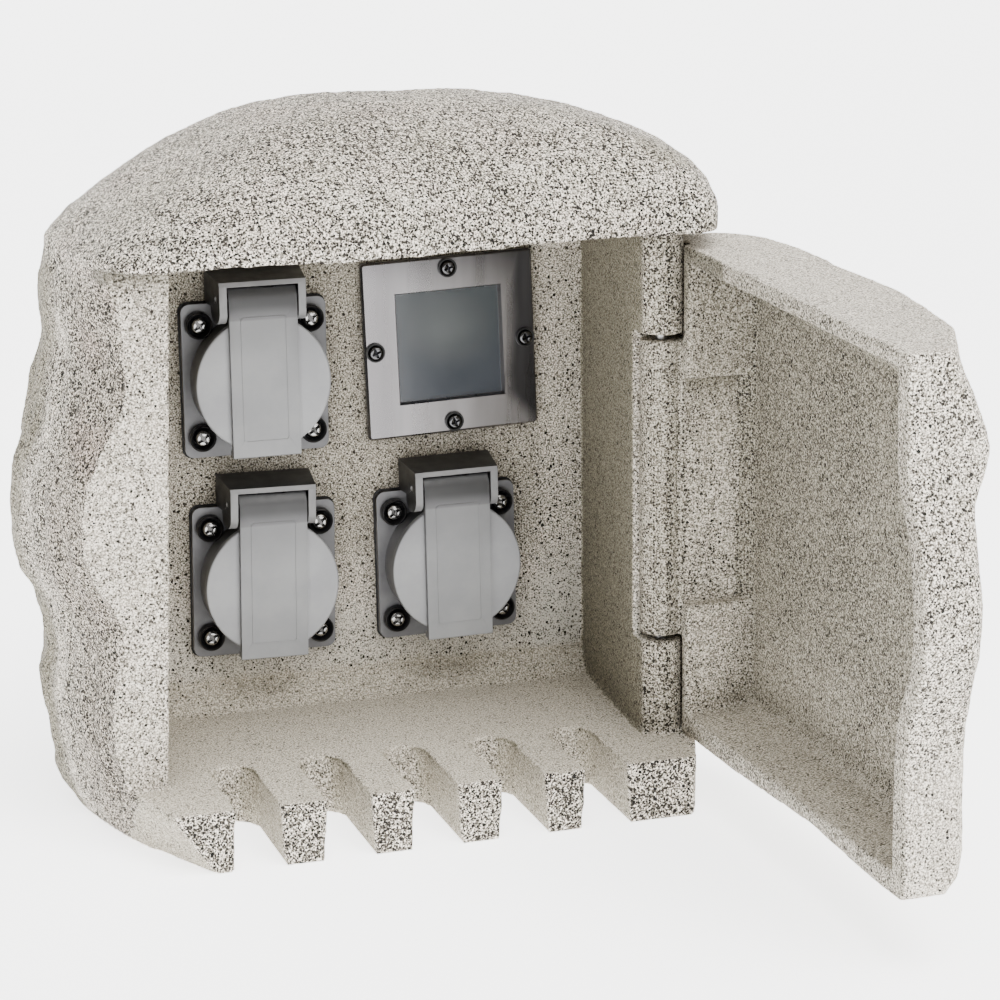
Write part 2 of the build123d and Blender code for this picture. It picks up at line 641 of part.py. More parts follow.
    with BuildPart() as insert:
        with BuildSketch(p.offset(INSERT_BACK)):
            Circle(WELL_R - 0.1)
        extrude(amount=WELL_FLOOR - INSERT_BACK)
        with BuildSketch(p.offset(INSERT_BACK)):
            with Locations((CONTACT_X, 0), (-CONTACT_X, 0)):
                Circle(3.65)
        extrude(amount=WELL_FLOOR - 2.0 - INSERT_BACK, mode=Mode.SUBTRACT)
        with BuildSketch(p.offset(INSERT_BACK)):
            with Locations((CONTACT_X, 0), (-CONTACT_X, 0)):
                Circle(2.75)
        extrude(amount=20.0, mode=Mode.SUBTRACT)
        with BuildSketch(p.offset(INSERT_BACK)):
            with Locations((0, 19.6), (0, -19.6)):
                Rectangle(5.2, 3.6)
        extrude(amount=20.0, mode=Mode.SUBTRACT)
        # raised bar between the pin holes
        with BuildSketch(p.offset(WELL_FLOOR)):
            SlotOverall(16.0, 3.0, rotation=90)
        extrude(amount=0.8)
    keep(insert, f"{tag}_insert")

    with BuildPart() as contacts:
        with BuildSketch(p.offset(-21.8)):
            with Locations((CONTACT_X, 0), (-CONTACT_X, 0)):
                Circle(3.5)
                Circle(2.5, mode=Mode.SUBTRACT)
            with Locations((CONTACT_X, 3.0), (-CONTACT_X, 3.0)):
                Rectangle(0.8, 3.0, mode=Mode.SUBTRACT)
        extrude(amount=12.6)
    keep(contacts, f"{tag}_contacts")

    with BuildPart() as earth_clips:
        for sign in (1, -1):
            with BuildSketch(side(p, -2.2)):
                with BuildLine():
                    Polyline((21.0, sign * 19.05), (21.0, sign * 18.25),
                             (-3.0, sign * 18.25), (-6.5, sign * 16.9),
                             (-9.2, sign * 18.2), (-9.6, sign * 19.0),
                             (-6.5, sign * 17.9), (-3.0, sign * 19.05), close=True)
                make_face()
            extrude(amount=4.4)
    keep(earth_clips, f"{tag}_earth_clips")

    with BuildPart() as gasket:
        with BuildSketch(p):
            RectangleRounded(FLANGE_W + 0.8, FLANGE_H + 0.8, FLANGE_R)
            Circle(PANEL_HOLE_R, mode=Mode.SUBTRACT)
            with GridLocations(SCREW_PITCH, SCREW_PITCH, 2, 2):
                Circle(2.0, mode=Mode.SUBTRACT)
        extrude(amount=GASKET_FLANGE_T)
    keep(gasket, f"{tag}_gasket")

    with BuildPart() as screw_cups:
        with BuildSketch(p.offset(GASKET_FLANGE_T + FLANGE_T)):
            with GridLocations(SCREW_PITCH, SCREW_PITCH, 2, 2):
                Circle(4.55)
        extrude(amount=2.8)
        chamfer(screw_cups.faces().sort_by(Axis.Y)[0:4].edges(), 0.4)
        with BuildSketch(p.offset(SCREW_OUT)):
            with GridLocations(SCREW_PITCH, SCREW_PITCH, 2, 2):
                Circle(3.1)
        extrude(amount=4.0, taper=-24, mode=Mode.SUBTRACT)
        with BuildSketch(p):
            with GridLocations(SCREW_PITCH, SCREW_PITCH, 2, 2):
                Circle(1.9)
        extrude(amount=8.0, mode=Mode.SUBTRACT)
    keep(screw_cups, f"{tag}_screw_cups")

    with BuildPart() as screws:
        with BuildSketch(p.offset(SCREW_OUT)):
            with GridLocations(SCREW_PITCH, SCREW_PITCH, 2, 2):
                Circle(2.9)
        extrude(amount=2.1)
        fillet(screws.faces().sort_by(Axis.Y)[0:4].edges(), 1.4)
        with BuildSketch(p.offset(-8.0)):
            with GridLocations(SCREW_PITCH, SCREW_PITCH, 2, 2):
                Circle(1.6)
        extrude(amount=SCREW_OUT + 8.0)
        with BuildSketch(p.offset(SCREW_OUT + 0.6)):
            with GridLocations(SCREW_PITCH, SCREW_PITCH, 2, 2):
                Rectangle(4.2, 1.0, rotation=35)
                Rectangle(1.0, 4.2, rotation=35)
                Circle(1.0)
        extrude(amount=3.0, mode=Mode.SUBTRACT)
    keep(screws, f"{tag}_screws")

# --------------------------------------------------------------------------
# light module
# --------------------------------------------------------------------------
lp = front(*LIGHT)
LIGHT_PITCH = [(LIGHT_SCREW, 0), (-LIGHT_SCREW, 0), (0, LIGHT_SCREW), (0, -LIGHT_SCREW)]
LBOX, LBOX_IN = 44.2, 37.0

with BuildPart() as light_gasket:
    with BuildSketch(lp):
        RectangleRounded(LIGHT_W - 1.0, LIGHT_H - 1.0, 1.5)
        RectangleRounded(LIGHT_CUT, LIGHT_CUT, 2, mode=Mode.SUBTRACT)
        with Locations(*LIGHT_PITCH):
            Circle(1.6, mode=Mode.SUBTRACT)
    extrude(amount=1.0)
keep(light_gasket, "light_gasket")

with BuildPart() as light_frame:
    with BuildSketch(lp.offset(1.0)):
        RectangleRounded(LIGHT_W, LIGHT_H, 1.4)
    extrude(amount=2.0)
    chamfer(light_frame.faces().sort_by(Axis.Y)[0].edges(), 0.7)
    with BuildSketch(lp.offset(0.0)):
        Rectangle(PANE_W, PANE_H)
    extrude(amount=2.0, mode=Mode.SUBTRACT)
    with BuildSketch(lp.offset(1.5)):
        Rectangle(PANE_W, PANE_H)
    with BuildSketch(lp.offset(3.2)):
        Rectangle(PANE_W + 1.4, PANE_H + 1.4)
    loft(ruled=True, mode=Mode.SUBTRACT)
    with BuildSketch(lp):
        with Locations(*LIGHT_PITCH):
            Circle(1.6)
    extrude(amount=5.0, mode=Mode.SUBTRACT)
keep(light_frame, "light_frame")

with BuildPart() as light_pane:
    with BuildSketch(lp.offset(-1.95)):
        RectangleRounded(40.4, 40.4, 1.0)
    extrude(amount=2.9)
keep(light_pane, "light_pane")

with BuildPart() as light_box:
    with BuildSketch(lp.offset(-26.0)):
        RectangleRounded(LBOX, LBOX, 1.8)
    extrude(amount=26.95)
    with BuildSketch(lp.offset(-24.0)):
        RectangleRounded(33.0, 33.0, 2)
    extrude(amount=40.0, mode=Mode.SUBTRACT)
    with BuildSketch(lp.offset(-20.0)):
        RectangleRounded(LBOX_IN, LBOX_IN, 2)
    extrude(amount=40.0, mode=Mode.SUBTRACT)
    with BuildSketch(lp.offset(-2.0)):
        RectangleRounded(40.8, 40.8, 1.2)
    extrude(amount=10.0, mode=Mode.SUBTRACT)
    with BuildSketch(lp.offset(-28.0)):
        with Locations((-10, 0), (10, 0)):
            Circle(CUP_PIN_R)
    extrude(amount=6.0, mode=Mode.SUBTRACT)
keep(light_box, "light_box")

with BuildPart() as light_board:
    with BuildSketch(lp.offset(-19.95)):
        RectangleRounded(36.4, 36.4, 1.5)
    extrude(amount=1.6)
keep(light_board, "light_board")

with BuildPart() as light_leds:
    with BuildSketch(lp.offset(-18.35)):
        with GridLocations(11.0, 11.0, 3, 3):
            Rectangle(5.0, 5.0)
    extrude(amount=1.0)
    with BuildSketch(lp.offset(-18.0)):
        with GridLocations(11.0, 11.0, 3, 3):
            Circle(2.0)
    extrude(amount=1.6)
keep(light_leds, "light_leds")

with BuildPart() as light_screw_cups:
    with BuildSketch(lp.offset(3.0)):
        with Locations(*LIGHT_PITCH):
            Circle(3.3)
    extrude(amount=1.1)
    with BuildSketch(lp.offset(3.4)):
        with Locations(*LIGHT_PITCH):
            Circle(2.75)
    extrude(amount=3.0, mode=Mode.SUBTRACT)
    with BuildSketch(lp.offset(2.0)):
        with Locations(*LIGHT_PITCH):
            Circle(1.4)
    extrude(amount=3.0, mode=Mode.SUBTRACT)
keep(light_screw_cups, "light_screw_cups")

with BuildPart() as light_screws:
    with BuildSketch(lp.offset(3.4)):
        with Locations(*LIGHT_PITCH):
            Circle(2.5)
    extrude(amount=1.7)
    fillet(light_screws.faces().sort_by(Axis.Y)[0:4].edges(), 1.0)
    with BuildSketch(lp.offset(-6.5)):
        with Locations(*LIGHT_PITCH):
            Circle(1.15)
    extrude(amount=10.0)
    with BuildSketch(lp.offset(4.2)):
        with Locations(*LIGHT_PITCH):
            Rectangle(3.2, 0.75, rotation=20)
            Rectangle(0.75, 3.2, rotation=20)
    extrude(amount=3.0, mode=Mode.SUBTRACT)
keep(light_screws, "light_screws")

# --------------------------------------------------------------------------
# rear cover and cable gland
# --------------------------------------------------------------------------
COVER_W = CH_X1 - CH_X0 + 2 * LEDGE - 0.8
COVER_H = CH_Z1 - CH_Z0 + 2 * LEDGE - 0.8
CX, CZ = (CH_X0 + CH_X1) / 2, (CH_Z0 + CH_Z1) / 2
COVER_IN = CH_BACK + GASKET_T
COVER_OUT = COVER_IN + COVER_T
SCREW_GRID = (CH_X1 - CH_X0 + LEDGE, (CH_Z1 - CH_Z0 + LEDGE) / 2, 2, 3)
GLAND_X, GLAND_Z = 35.0, -98.0
GLAND_BORE = 4.9

with BuildPart() as rear_gasket:
    with BuildSketch(face_y(COVER_IN)):
        with Locations((CX, CZ)):
            RectangleRounded(COVER_W, COVER_H, SEAT_R - 0.4)
            RectangleRounded(CH_X1 - CH_X0, CH_Z1 - CH_Z0, 5, mode=Mode.SUBTRACT)
            with GridLocations(*SCREW_GRID):
                Circle(1.9, mode=Mode.SUBTRACT)
    extrude(amount=GASKET_T)
keep(rear_gasket, "rear_gasket")

with BuildPart() as rear_cover:
    with BuildSketch(face_y(COVER_OUT)):
        with Locations((CX, CZ)):
            RectangleRounded(COVER_W, COVER_H, SEAT_R - 0.4)
    extrude(amount=COVER_T)
    chamfer(rear_cover.faces().sort_by(Axis.Y)[-1].edges(), 0.6)
    with BuildSketch(face_y(COVER_OUT + 1.0)):
        with Locations((CX, CZ)):
            with GridLocations(*SCREW_GRID):
                Circle(1.9)
        with Locations((GLAND_X, GLAND_Z)):
            Circle(8.1)
    extrude(amount=COVER_T + 2.0, mode=Mode.SUBTRACT)
keep(rear_cover, "rear_cover")

with BuildPart() as rear_screws:
    with BuildSketch(face_y(COVER_OUT + 2.3)):
        with Locations((CX, CZ)):
            with GridLocations(*SCREW_GRID):
                Circle(3.2)
    extrude(amount=2.3)
    fillet(rear_screws.faces().sort_by(Axis.Y)[-6:].edges(), 1.2)
    with BuildSketch(face_y(COVER_OUT)):
        with Locations((CX, CZ)):
            with GridLocations(*SCREW_GRID):
                Circle(1.5)
    extrude(amount=16.0)
    with BuildSketch(face_y(COVER_OUT + 4.0)):
        with Locations((CX, CZ)):
            with GridLocations(*SCREW_GRID):
                Rectangle(3.4, 0.8, rotation=15)
                Rectangle(0.8, 3.4, rotation=15)
    extrude(amount=3.0, mode=Mode.SUBTRACT)
keep(rear_screws, "rear_screws")

with BuildPart() as cable_gland_body:
    with BuildSketch(face_y(COVER_OUT + 4.5)):
        with Locations((GLAND_X, GLAND_Z)):
            RegularPolygon(radius=10.4, side_count=6)
    extrude(amount=4.5)
    with BuildSketch(face_y(COVER_OUT)):
        with Locations((GLAND_X, GLAND_Z)):
            Circle(8.0)
    extrude(amount=9.5)
    with BuildSketch(face_y(COVER_OUT + 4.0)):
        with Locations((GLAND_X, GLAND_Z)):
            Circle(9.2)
    extrude(amount=-6.5)
    chamfer(cable_gland_body.faces().sort_by(Axis.Y)[-1].edges(), 1.6)
    with BuildSketch(face_y(COVER_OUT + 20.0)):
        with Locations((GLAND_X, GLAND_Z)):
            Circle(5.4)
    extrude(amount=40.0, mode=Mode.SUBTRACT)
    with BuildSketch(face_y(COVER_OUT + 20.0)):
        with Locations((GLAND_X, GLAND_Z)):
            Circle(6.7)
    extrude(amount=16.5, mode=Mode.SUBTRACT)
keep(cable_gland_body, "cable_gland_body")

with BuildPart() as cable_gland_seal:
    with BuildSketch(face_y(COVER_OUT + 10.2)):
        with Locations((GLAND_X, GLAND_Z)):
            Circle(6.65)
            Circle(GLAND_BORE, mode=Mode.SUBTRACT)
    extrude(amount=6.6)
keep(cable_gland_seal, "cable_gland_seal")

with BuildPart() as cable_gland_nut:
    with BuildSketch(face_y(COVER_IN - 0.1)):
        with Locations((GLAND_X, GLAND_Z)):
            RegularPolygon(radius=12.0, side_count=6)
            Circle(8.05, mode=Mode.SUBTRACT)
    extrude(amount=4.5)
keep(cable_gland_nut, "cable_gland_nut")

# --------------------------------------------------------------------------
# wiring inside the chamber
# --------------------------------------------------------------------------
BLOCK_X0, BLOCK_X1 = 14.0, 56.0
BLOCK_Z0, BLOCK_Z1 = -118.0, -104.0
BLOCK_Y = PANEL_T + 14.0
ENTRY = [-4.95, -1.65, 1.65, 4.95]
POLES = [21.5, 35.0, 48.5]
WIRE_R = 1.1

with BuildPart() as terminal_block:
    with BuildSketch(face_y(BLOCK_Y)):
        with Locations(((BLOCK_X0 + BLOCK_X1) / 2, (BLOCK_Z0 + BLOCK_Z1) / 2)):
            RectangleRounded(BLOCK_X1 - BLOCK_X0, BLOCK_Z1 - BLOCK_Z0, 1.0)
    extrude(amount=BLOCK_Y - PANEL_T - 0.05)
    with BuildSketch(level(BLOCK_Z1 + 1.0)):
        for c in POLES:
            with Locations(*[(c + e, PANEL_T + 7.0) for e in ENTRY]):
                Circle(WIRE_R + 0.2)
    extrude(amount=-6.0, mode=Mode.SUBTRACT)
    with BuildSketch(face_y(BLOCK_Y + 1.0)):
        with Locations(*[(c, -114.0) for c in POLES]):
            Circle(2.3)
    extrude(amount=3.0, mode=Mode.SUBTRACT)
    with BuildSketch(level(BLOCK_Z0 - 1.0)):
        with Locations(*[(c, PANEL_T + 7.0) for c in POLES]):
            Circle(1.8)
    extrude(amount=6.0, mode=Mode.SUBTRACT)
    # grooves between the poles
    with BuildSketch(face_y(BLOCK_Y + 1.0)):
        with Locations(*[(x, (BLOCK_Z0 + BLOCK_Z1) / 2) for x in (28.25, 41.75)]):
            Rectangle(1.0, 20.0)
    extrude(amount=3.0, mode=Mode.SUBTRACT)
keep(terminal_block, "terminal_block")

with BuildPart() as terminal_screws:
    with BuildSketch(face_y(BLOCK_Y - 0.4)):
        with Locations(*[(c, -114.0) for c in POLES]):
            Circle(2.2)
    extrude(amount=1.5)
    with BuildSketch(face_y(BLOCK_Y + 0.1)):
        with Locations(*[(c, -114.0) for c in POLES]):
            Rectangle(3.6, 0.7, rotation=40)
    extrude(amount=1.1, mode=Mode.SUBTRACT)
keep(terminal_screws, "terminal_screws")


def rear_point(x, z, roll, u, v):
    """Point over the panel datum at the back of a fixture, from its local u, v."""
    q = front(x, z, roll)
    pt = q.origin + q.x_dir * u + q.y_dir * v
    return pt.X - OX, pt.Z - OZ


def route(start, bend, layer, target):
    """Corners of a lead from the back of a fixture to its clamp."""
    (x, z), back = start
    pts = [(x, back, z), (x, layer, z)]
    if bend:
        pts.append((bend[0], layer, bend[1]))
    pts += [(target, layer, -91.0), (target, PANEL_T + 7.0, -99.0),
            (target, PANEL_T + 7.0, BLOCK_Z1 - 3.5)]
    return [(OX + a, OY + b, OZ + c) for a, b, c in pts]


UL, LL, LM = SOCKETS["upper_left"], SOCKETS["lower_left"], SOCKETS["lower_mid"]
CUP_Y, BOX_Y = 24.2, 24.2
LIVE = [
    route((rear_point(*LL, -CONTACT_X, 0), CUP_Y), None, 34.0, POLES[0] + ENTRY[0]),
    route((rear_point(*UL, -CONTACT_X, 0), CUP_Y), (24.0, -30.0), 34.0, POLES[0] + ENTRY[1]),
    route((rear_point(*LIGHT, -10, 0), BOX_Y), (32.0, -30.0), 34.0, POLES[0] + ENTRY[2]),
    route((rear_point(*LM, -CONTACT_X, 0), CUP_Y), None, 34.0, POLES[0] + ENTRY[3]),
]
NEUTRAL = [
    route((rear_point(*LL, CONTACT_X, 0), CUP_Y), None, 39.0, POLES[1] + ENTRY[0]),
    route((rear_point(*UL, CONTACT_X, 0), CUP_Y), (32.0, -30.0), 39.0, POLES[1] + ENTRY[1]),
    route((rear_point(*LIGHT, 10, 0), BOX_Y), (45.0, -30.0), 39.0, POLES[1] + ENTRY[2]),
    route((rear_point(*LM, CONTACT_X, 0), CUP_Y), None, 39.0, POLES[1] + ENTRY[3]),
]
EARTH = [
    route((rear_point(*LL, 0, 17.6), CUP_Y), None, 44.0, POLES[2] + ENTRY[0]),
    route((rear_point(*UL, 0, 17.6), CUP_Y), (44.0, -25.0), 44.0, POLES[2] + ENTRY[1]),
    route((rear_point(*LM, 0, 17.6), CUP_Y), None, 44.0, POLES[2] + ENTRY[2]),
]
for label, routes in (("wires_live", LIVE), ("wires_neutral", NEUTRAL), ("wires_earth", EARTH)):
    with BuildPart() as wires:
        for pts in routes:
            with BuildLine() as path:
                FilletPolyline(*pts, radius=3.5)
            start = Plane(origin=pts[0], z_dir=(0, 1, 0))
            with BuildSketch(start):
                Circle(WIRE_R)
            sweep(path=path.line)
    keep(wires, label)
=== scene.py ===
import math

import bmesh
import bpy
import numpy as np
from mathutils import Matrix, Vector, noise
from mathutils.bvhtree import BVHTree


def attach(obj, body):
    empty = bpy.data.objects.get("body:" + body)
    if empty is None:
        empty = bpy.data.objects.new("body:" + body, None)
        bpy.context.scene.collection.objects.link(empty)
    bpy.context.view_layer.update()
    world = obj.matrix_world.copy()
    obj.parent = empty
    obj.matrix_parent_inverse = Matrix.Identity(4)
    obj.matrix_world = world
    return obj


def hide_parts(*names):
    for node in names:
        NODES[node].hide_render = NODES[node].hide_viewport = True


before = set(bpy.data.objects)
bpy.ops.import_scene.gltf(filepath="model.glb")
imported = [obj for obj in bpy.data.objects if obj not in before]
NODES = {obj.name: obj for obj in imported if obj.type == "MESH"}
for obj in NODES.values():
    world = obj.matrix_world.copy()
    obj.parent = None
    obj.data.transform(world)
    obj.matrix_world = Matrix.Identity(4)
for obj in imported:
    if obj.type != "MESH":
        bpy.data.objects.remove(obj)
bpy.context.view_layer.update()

MM = 0.001
# panel datum (middle of the upper left socket on the panel) in the row frame, mm
OX, OY, OZ = -30.0, 20.0, 135.0
HX, HY = 118.4, -71.4      # door hinge, from the datum
SOCKETS = {
    "upper_left": (0.0, 0.0, 0.1),
    "lower_left": (1.0, -69.6, -1.0),
    "lower_mid": (65.8, -69.0, 0.7),
}
LIGHT = (68.1, 6.2, 1.9)

# --------------------------------------------------------------------------
# camera, floor, lights
# --------------------------------------------------------------------------
PSI, PITCH, ROLL = 0.314516, 0.245636, 0.010483
look = Vector((math.sin(PSI) * math.cos(PITCH), math.cos(PSI) * math.cos(PITCH),
               -math.sin(PITCH)))
right = Vector((math.cos(PSI), -math.sin(PSI), 0.0))
down = look.cross(right)
right2 = math.cos(ROLL) * right + math.sin(ROLL) * down
down2 = -math.sin(ROLL) * right + math.cos(ROLL) * down
cam_data = bpy.data.cameras.new("camera")
cam_data.sensor_width = 36.0
cam_data.lens = 108.0
cam_data.clip_start = 0.05
cam_data.clip_end = 120.0
cam = bpy.data.objects.new("camera", cam_data)
rot = Matrix((right2, -down2, -look)).transposed()
cam.matrix_world = Matrix.Translation((-0.25622, -0.94042, 0.33767)) @ rot.to_4x4()
bpy.context.scene.collection.objects.link(cam)
bpy.context.scene.camera = cam


def simple_mesh(name, verts, faces):
    me = bpy.data.meshes.new(name)
    me.from_pydata(verts, [], faces)
    me.update()
    ob = bpy.data.objects.new(name, me)
    bpy.context.scene.collection.objects.link(ob)
    return ob


def area_light(name, place, target, size, power, colour=(1, 1, 1), size_y=None):
    data = bpy.data.lights.new(name, "AREA")
    data.energy = power
    data.color = colour
    data.size = size
    if size_y:
        data.shape = "RECTANGLE"
        data.size_y = size_y
    ob = bpy.data.objects.new(name, data)
    ob.location = place
    ob.rotation_euler = (Vector(target) - Vector(place)).to_track_quat("-Z", "Y").to_euler()
    bpy.context.scene.collection.objects.link(ob)
    return ob


def sun_light(name, direction, power, angle, colour=(1, 1, 1)):
    data = bpy.data.lights.new(name, "SUN")
    data.energy = power
    data.angle = math.radians(angle)
    data.color = colour
    ob = bpy.data.objects.new(name, data)
    ob.rotation_euler = Vector(direction).to_track_quat("-Z", "Y").to_euler()
    bpy.context.scene.collection.objects.link(ob)
    return ob


sun_light("sky_panel", (-0.10, 0.36, -1.0), 5.1, 50.0, (1.0, 0.995, 0.985))
area_light("key", (0.75, -1.55, 0.85), (0.02, -0.05, 0.11), 0.9, 19.0, (1.0, 0.985, 0.96))
area_light("fill_left", (-1.35, -0.95, 0.55), (0.0, 0.0, 0.12), 0.5, 1.6, (0.97, 0.985, 1.0))

world = bpy.data.worlds.new("studio")
bpy.context.scene.world = world
world.use_nodes = True
wt = world.node_tree
w_geo = wt.nodes.new("ShaderNodeTexCoord")
w_xyz = wt.nodes.new("ShaderNodeSeparateXYZ")
w_map = wt.nodes.new("ShaderNodeMapRange")
wt.links.new(w_geo.outputs["Generated"], w_xyz.inputs[0])
wt.links.new(w_xyz.outputs["Z"], w_map.inputs["Value"])
w_map.inputs["From Min"].default_value = 0.05
w_map.inputs["From Max"].default_value = 0.75
w_map.inputs["To Min"].default_value = 0.24
w_map.inputs["To Max"].default_value = 0.98
wt.links.new(w_map.outputs["Result"], wt.nodes["Background"].inputs["Strength"])
wt.nodes["Background"].inputs["Color"].default_value = (1.0, 1.0, 1.0, 1)

# pale floor, curving up far behind
floor_v, floor_f = [], []
profile = [(-50.0, 0.0), (8.0, 0.0)]
for k in range(1, 13):
    a = math.radians(90.0 * k / 12)
    profile.append((8.0 + 1.0 * math.sin(a), 1.0 - math.cos(a)))
profile.append((9.0, 4.0))
for y, z in profile:
    floor_v += [(-50.0, y, z - 0.0002), (50.0, y, z - 0.0002)]
for k in range(len(profile) - 1):
    floor_f.append((2 * k, 2 * k + 1, 2 * k + 3, 2 * k + 2))
floor = simple_mesh("floor", floor_v, floor_f)
for poly in floor.data.polygons:
    poly.use_smooth = True


# --------------------------------------------------------------------------
# node helpers
# --------------------------------------------------------------------------
class Tree:
    """Small helper that adds and links shader nodes of one material."""

    def __init__(self, name):
        self.mat = bpy.data.materials.new(name)
        self.mat.use_nodes = True
        self.nt = self.mat.node_tree
        self.bsdf = self.nt.nodes["Principled BSDF"]
        self.out = self.nt.nodes["Material Output"]
        self.obj = self.nt.nodes.new("ShaderNodeTexCoord").outputs["Object"]

    def put(self, socket, value):
        if isinstance(value, (int, float, tuple, list)):
            socket.default_value = value
        else:
            self.nt.links.new(value, socket)

    def math(self, op, a, b=None, c=None, clamp=False):
        n = self.nt.nodes.new("ShaderNodeMath")
        n.operation = op
        n.use_clamp = clamp
        for i, v in enumerate((a, b, c)):
            if v is not None:
                self.put(n.inputs[i], v)
        return n.outputs[0]

    def ramp(self, value, lo, hi, to_lo=0.0, to_hi=1.0, smooth=True):
        n = self.nt.nodes.new("ShaderNodeMapRange")
        n.interpolation_type = "SMOOTHSTEP" if smooth else "LINEAR"
        self.put(n.inputs["Value"], value)
        n.inputs["From Min"].default_value = lo
        n.inputs["From Max"].default_value = hi
        n.inputs["To Min"].default_value = to_lo
        n.inputs["To Max"].default_value = to_hi
        return n.outputs["Result"]

    def stretch(self, scale=(1, 1, 1), offset=(0, 0, 0), source=None):
        n = self.nt.nodes.new("ShaderNodeMapping")
        self.put(n.inputs["Vector"], source or self.obj)
        n.inputs["Scale"].default_value = scale
        n.inputs["Location"].default_value = offset
        return n.outputs["Vector"]

    def noise(self, scale, detail=2.0, rough=0.5, source=None, distortion=0.0):
        n = self.nt.nodes.new("ShaderNodeTexNoise")
        self.put(n.inputs["Vector"], source or self.obj)
        n.inputs["Scale"].default_value = scale
        n.inputs["Detail"].default_value = detail
        n.inputs["Roughness"].default_value = rough
        n.inputs["Distortion"].default_value = distortion
        return n.outputs["Fac"]

    def cells(self, scale, source=None, randomness=1.0):
        n = self.nt.nodes.new("ShaderNodeTexVoronoi")
        self.put(n.inputs["Vector"], source or self.obj)
        n.inputs["Scale"].default_value = scale
        n.inputs["Randomness"].default_value = randomness
        return n.outputs["Distance"], n.outputs["Color"]

    def wobble(self, scale, amount, offset=(0, 0, 0), stretch=(1, 1, 1)):
        """Object position pushed about by a fine noise, for ragged grain edges."""
        n = self.nt.nodes.new("ShaderNodeTexNoise")
        self.put(n.inputs["Vector"], self.obj)
        n.inputs["Scale"].default_value = scale
        n.inputs["Detail"].default_value = 1.0
        sub = self.nt.nodes.new("ShaderNodeVectorMath")
        sub.operation = "SUBTRACT"
        self.put(sub.inputs[0], n.outputs["Color"])
        sub.inputs[1].default_value = (0.5, 0.5, 0.5)
        mul = self.nt.nodes.new("ShaderNodeVectorMath")
        mul.operation = "MULTIPLY_ADD"
        self.put(mul.inputs[0], sub.outputs[0])
        mul.inputs[1].default_value = (amount, amount, amount)
        self.put(mul.inputs[2], self.obj)
        return self.stretch(scale=stretch, offset=offset, source=mul.outputs[0])

    def split(self, colour):
        n = self.nt.nodes.new("ShaderNodeSeparateColor")
        self.put(n.inputs["Color"], colour)
        return n.outputs

    def mix(self, fac, a, b, mode="MIX"):
        n = self.nt.nodes.new("ShaderNodeMix")
        n.data_type = "RGBA"
        n.blend_type = mode
        self.put(n.inputs[0], fac)
        self.put(n.inputs[6], a)
        self.put(n.inputs[7], b)
        return n.outputs[2]

    def bump(self, height, strength, distance, normal=None):
        n = self.nt.nodes.new("ShaderNodeBump")
        n.inputs["Strength"].default_value = strength
        n.inputs["Distance"].default_value = distance
        self.put(n.inputs["Height"], height)
        if normal is not None:
            self.put(n.inputs["Normal"], normal)
        return n.outputs["Normal"]

    def xyz(self):
        n = self.nt.nodes.new("ShaderNodeSeparateXYZ")
        self.put(n.inputs[0], self.obj)
        return n.outputs

    def normal(self):
        g = self.nt.nodes.new("ShaderNodeNewGeometry")
        n = self.nt.nodes.new("ShaderNodeSeparateXYZ")
        self.put(n.inputs[0], g.outputs["Normal"])
        return n.outputs


def rgb(r, g, b):
    """sRGB 0..255 to linear, with alpha."""
    def lin(c):
        c /= 255.0
        return c / 12.92 if c <= 0.04045 else ((c + 0.055) / 1.055) ** 2.4
    return (lin(r), lin(g), lin(b), 1.0)


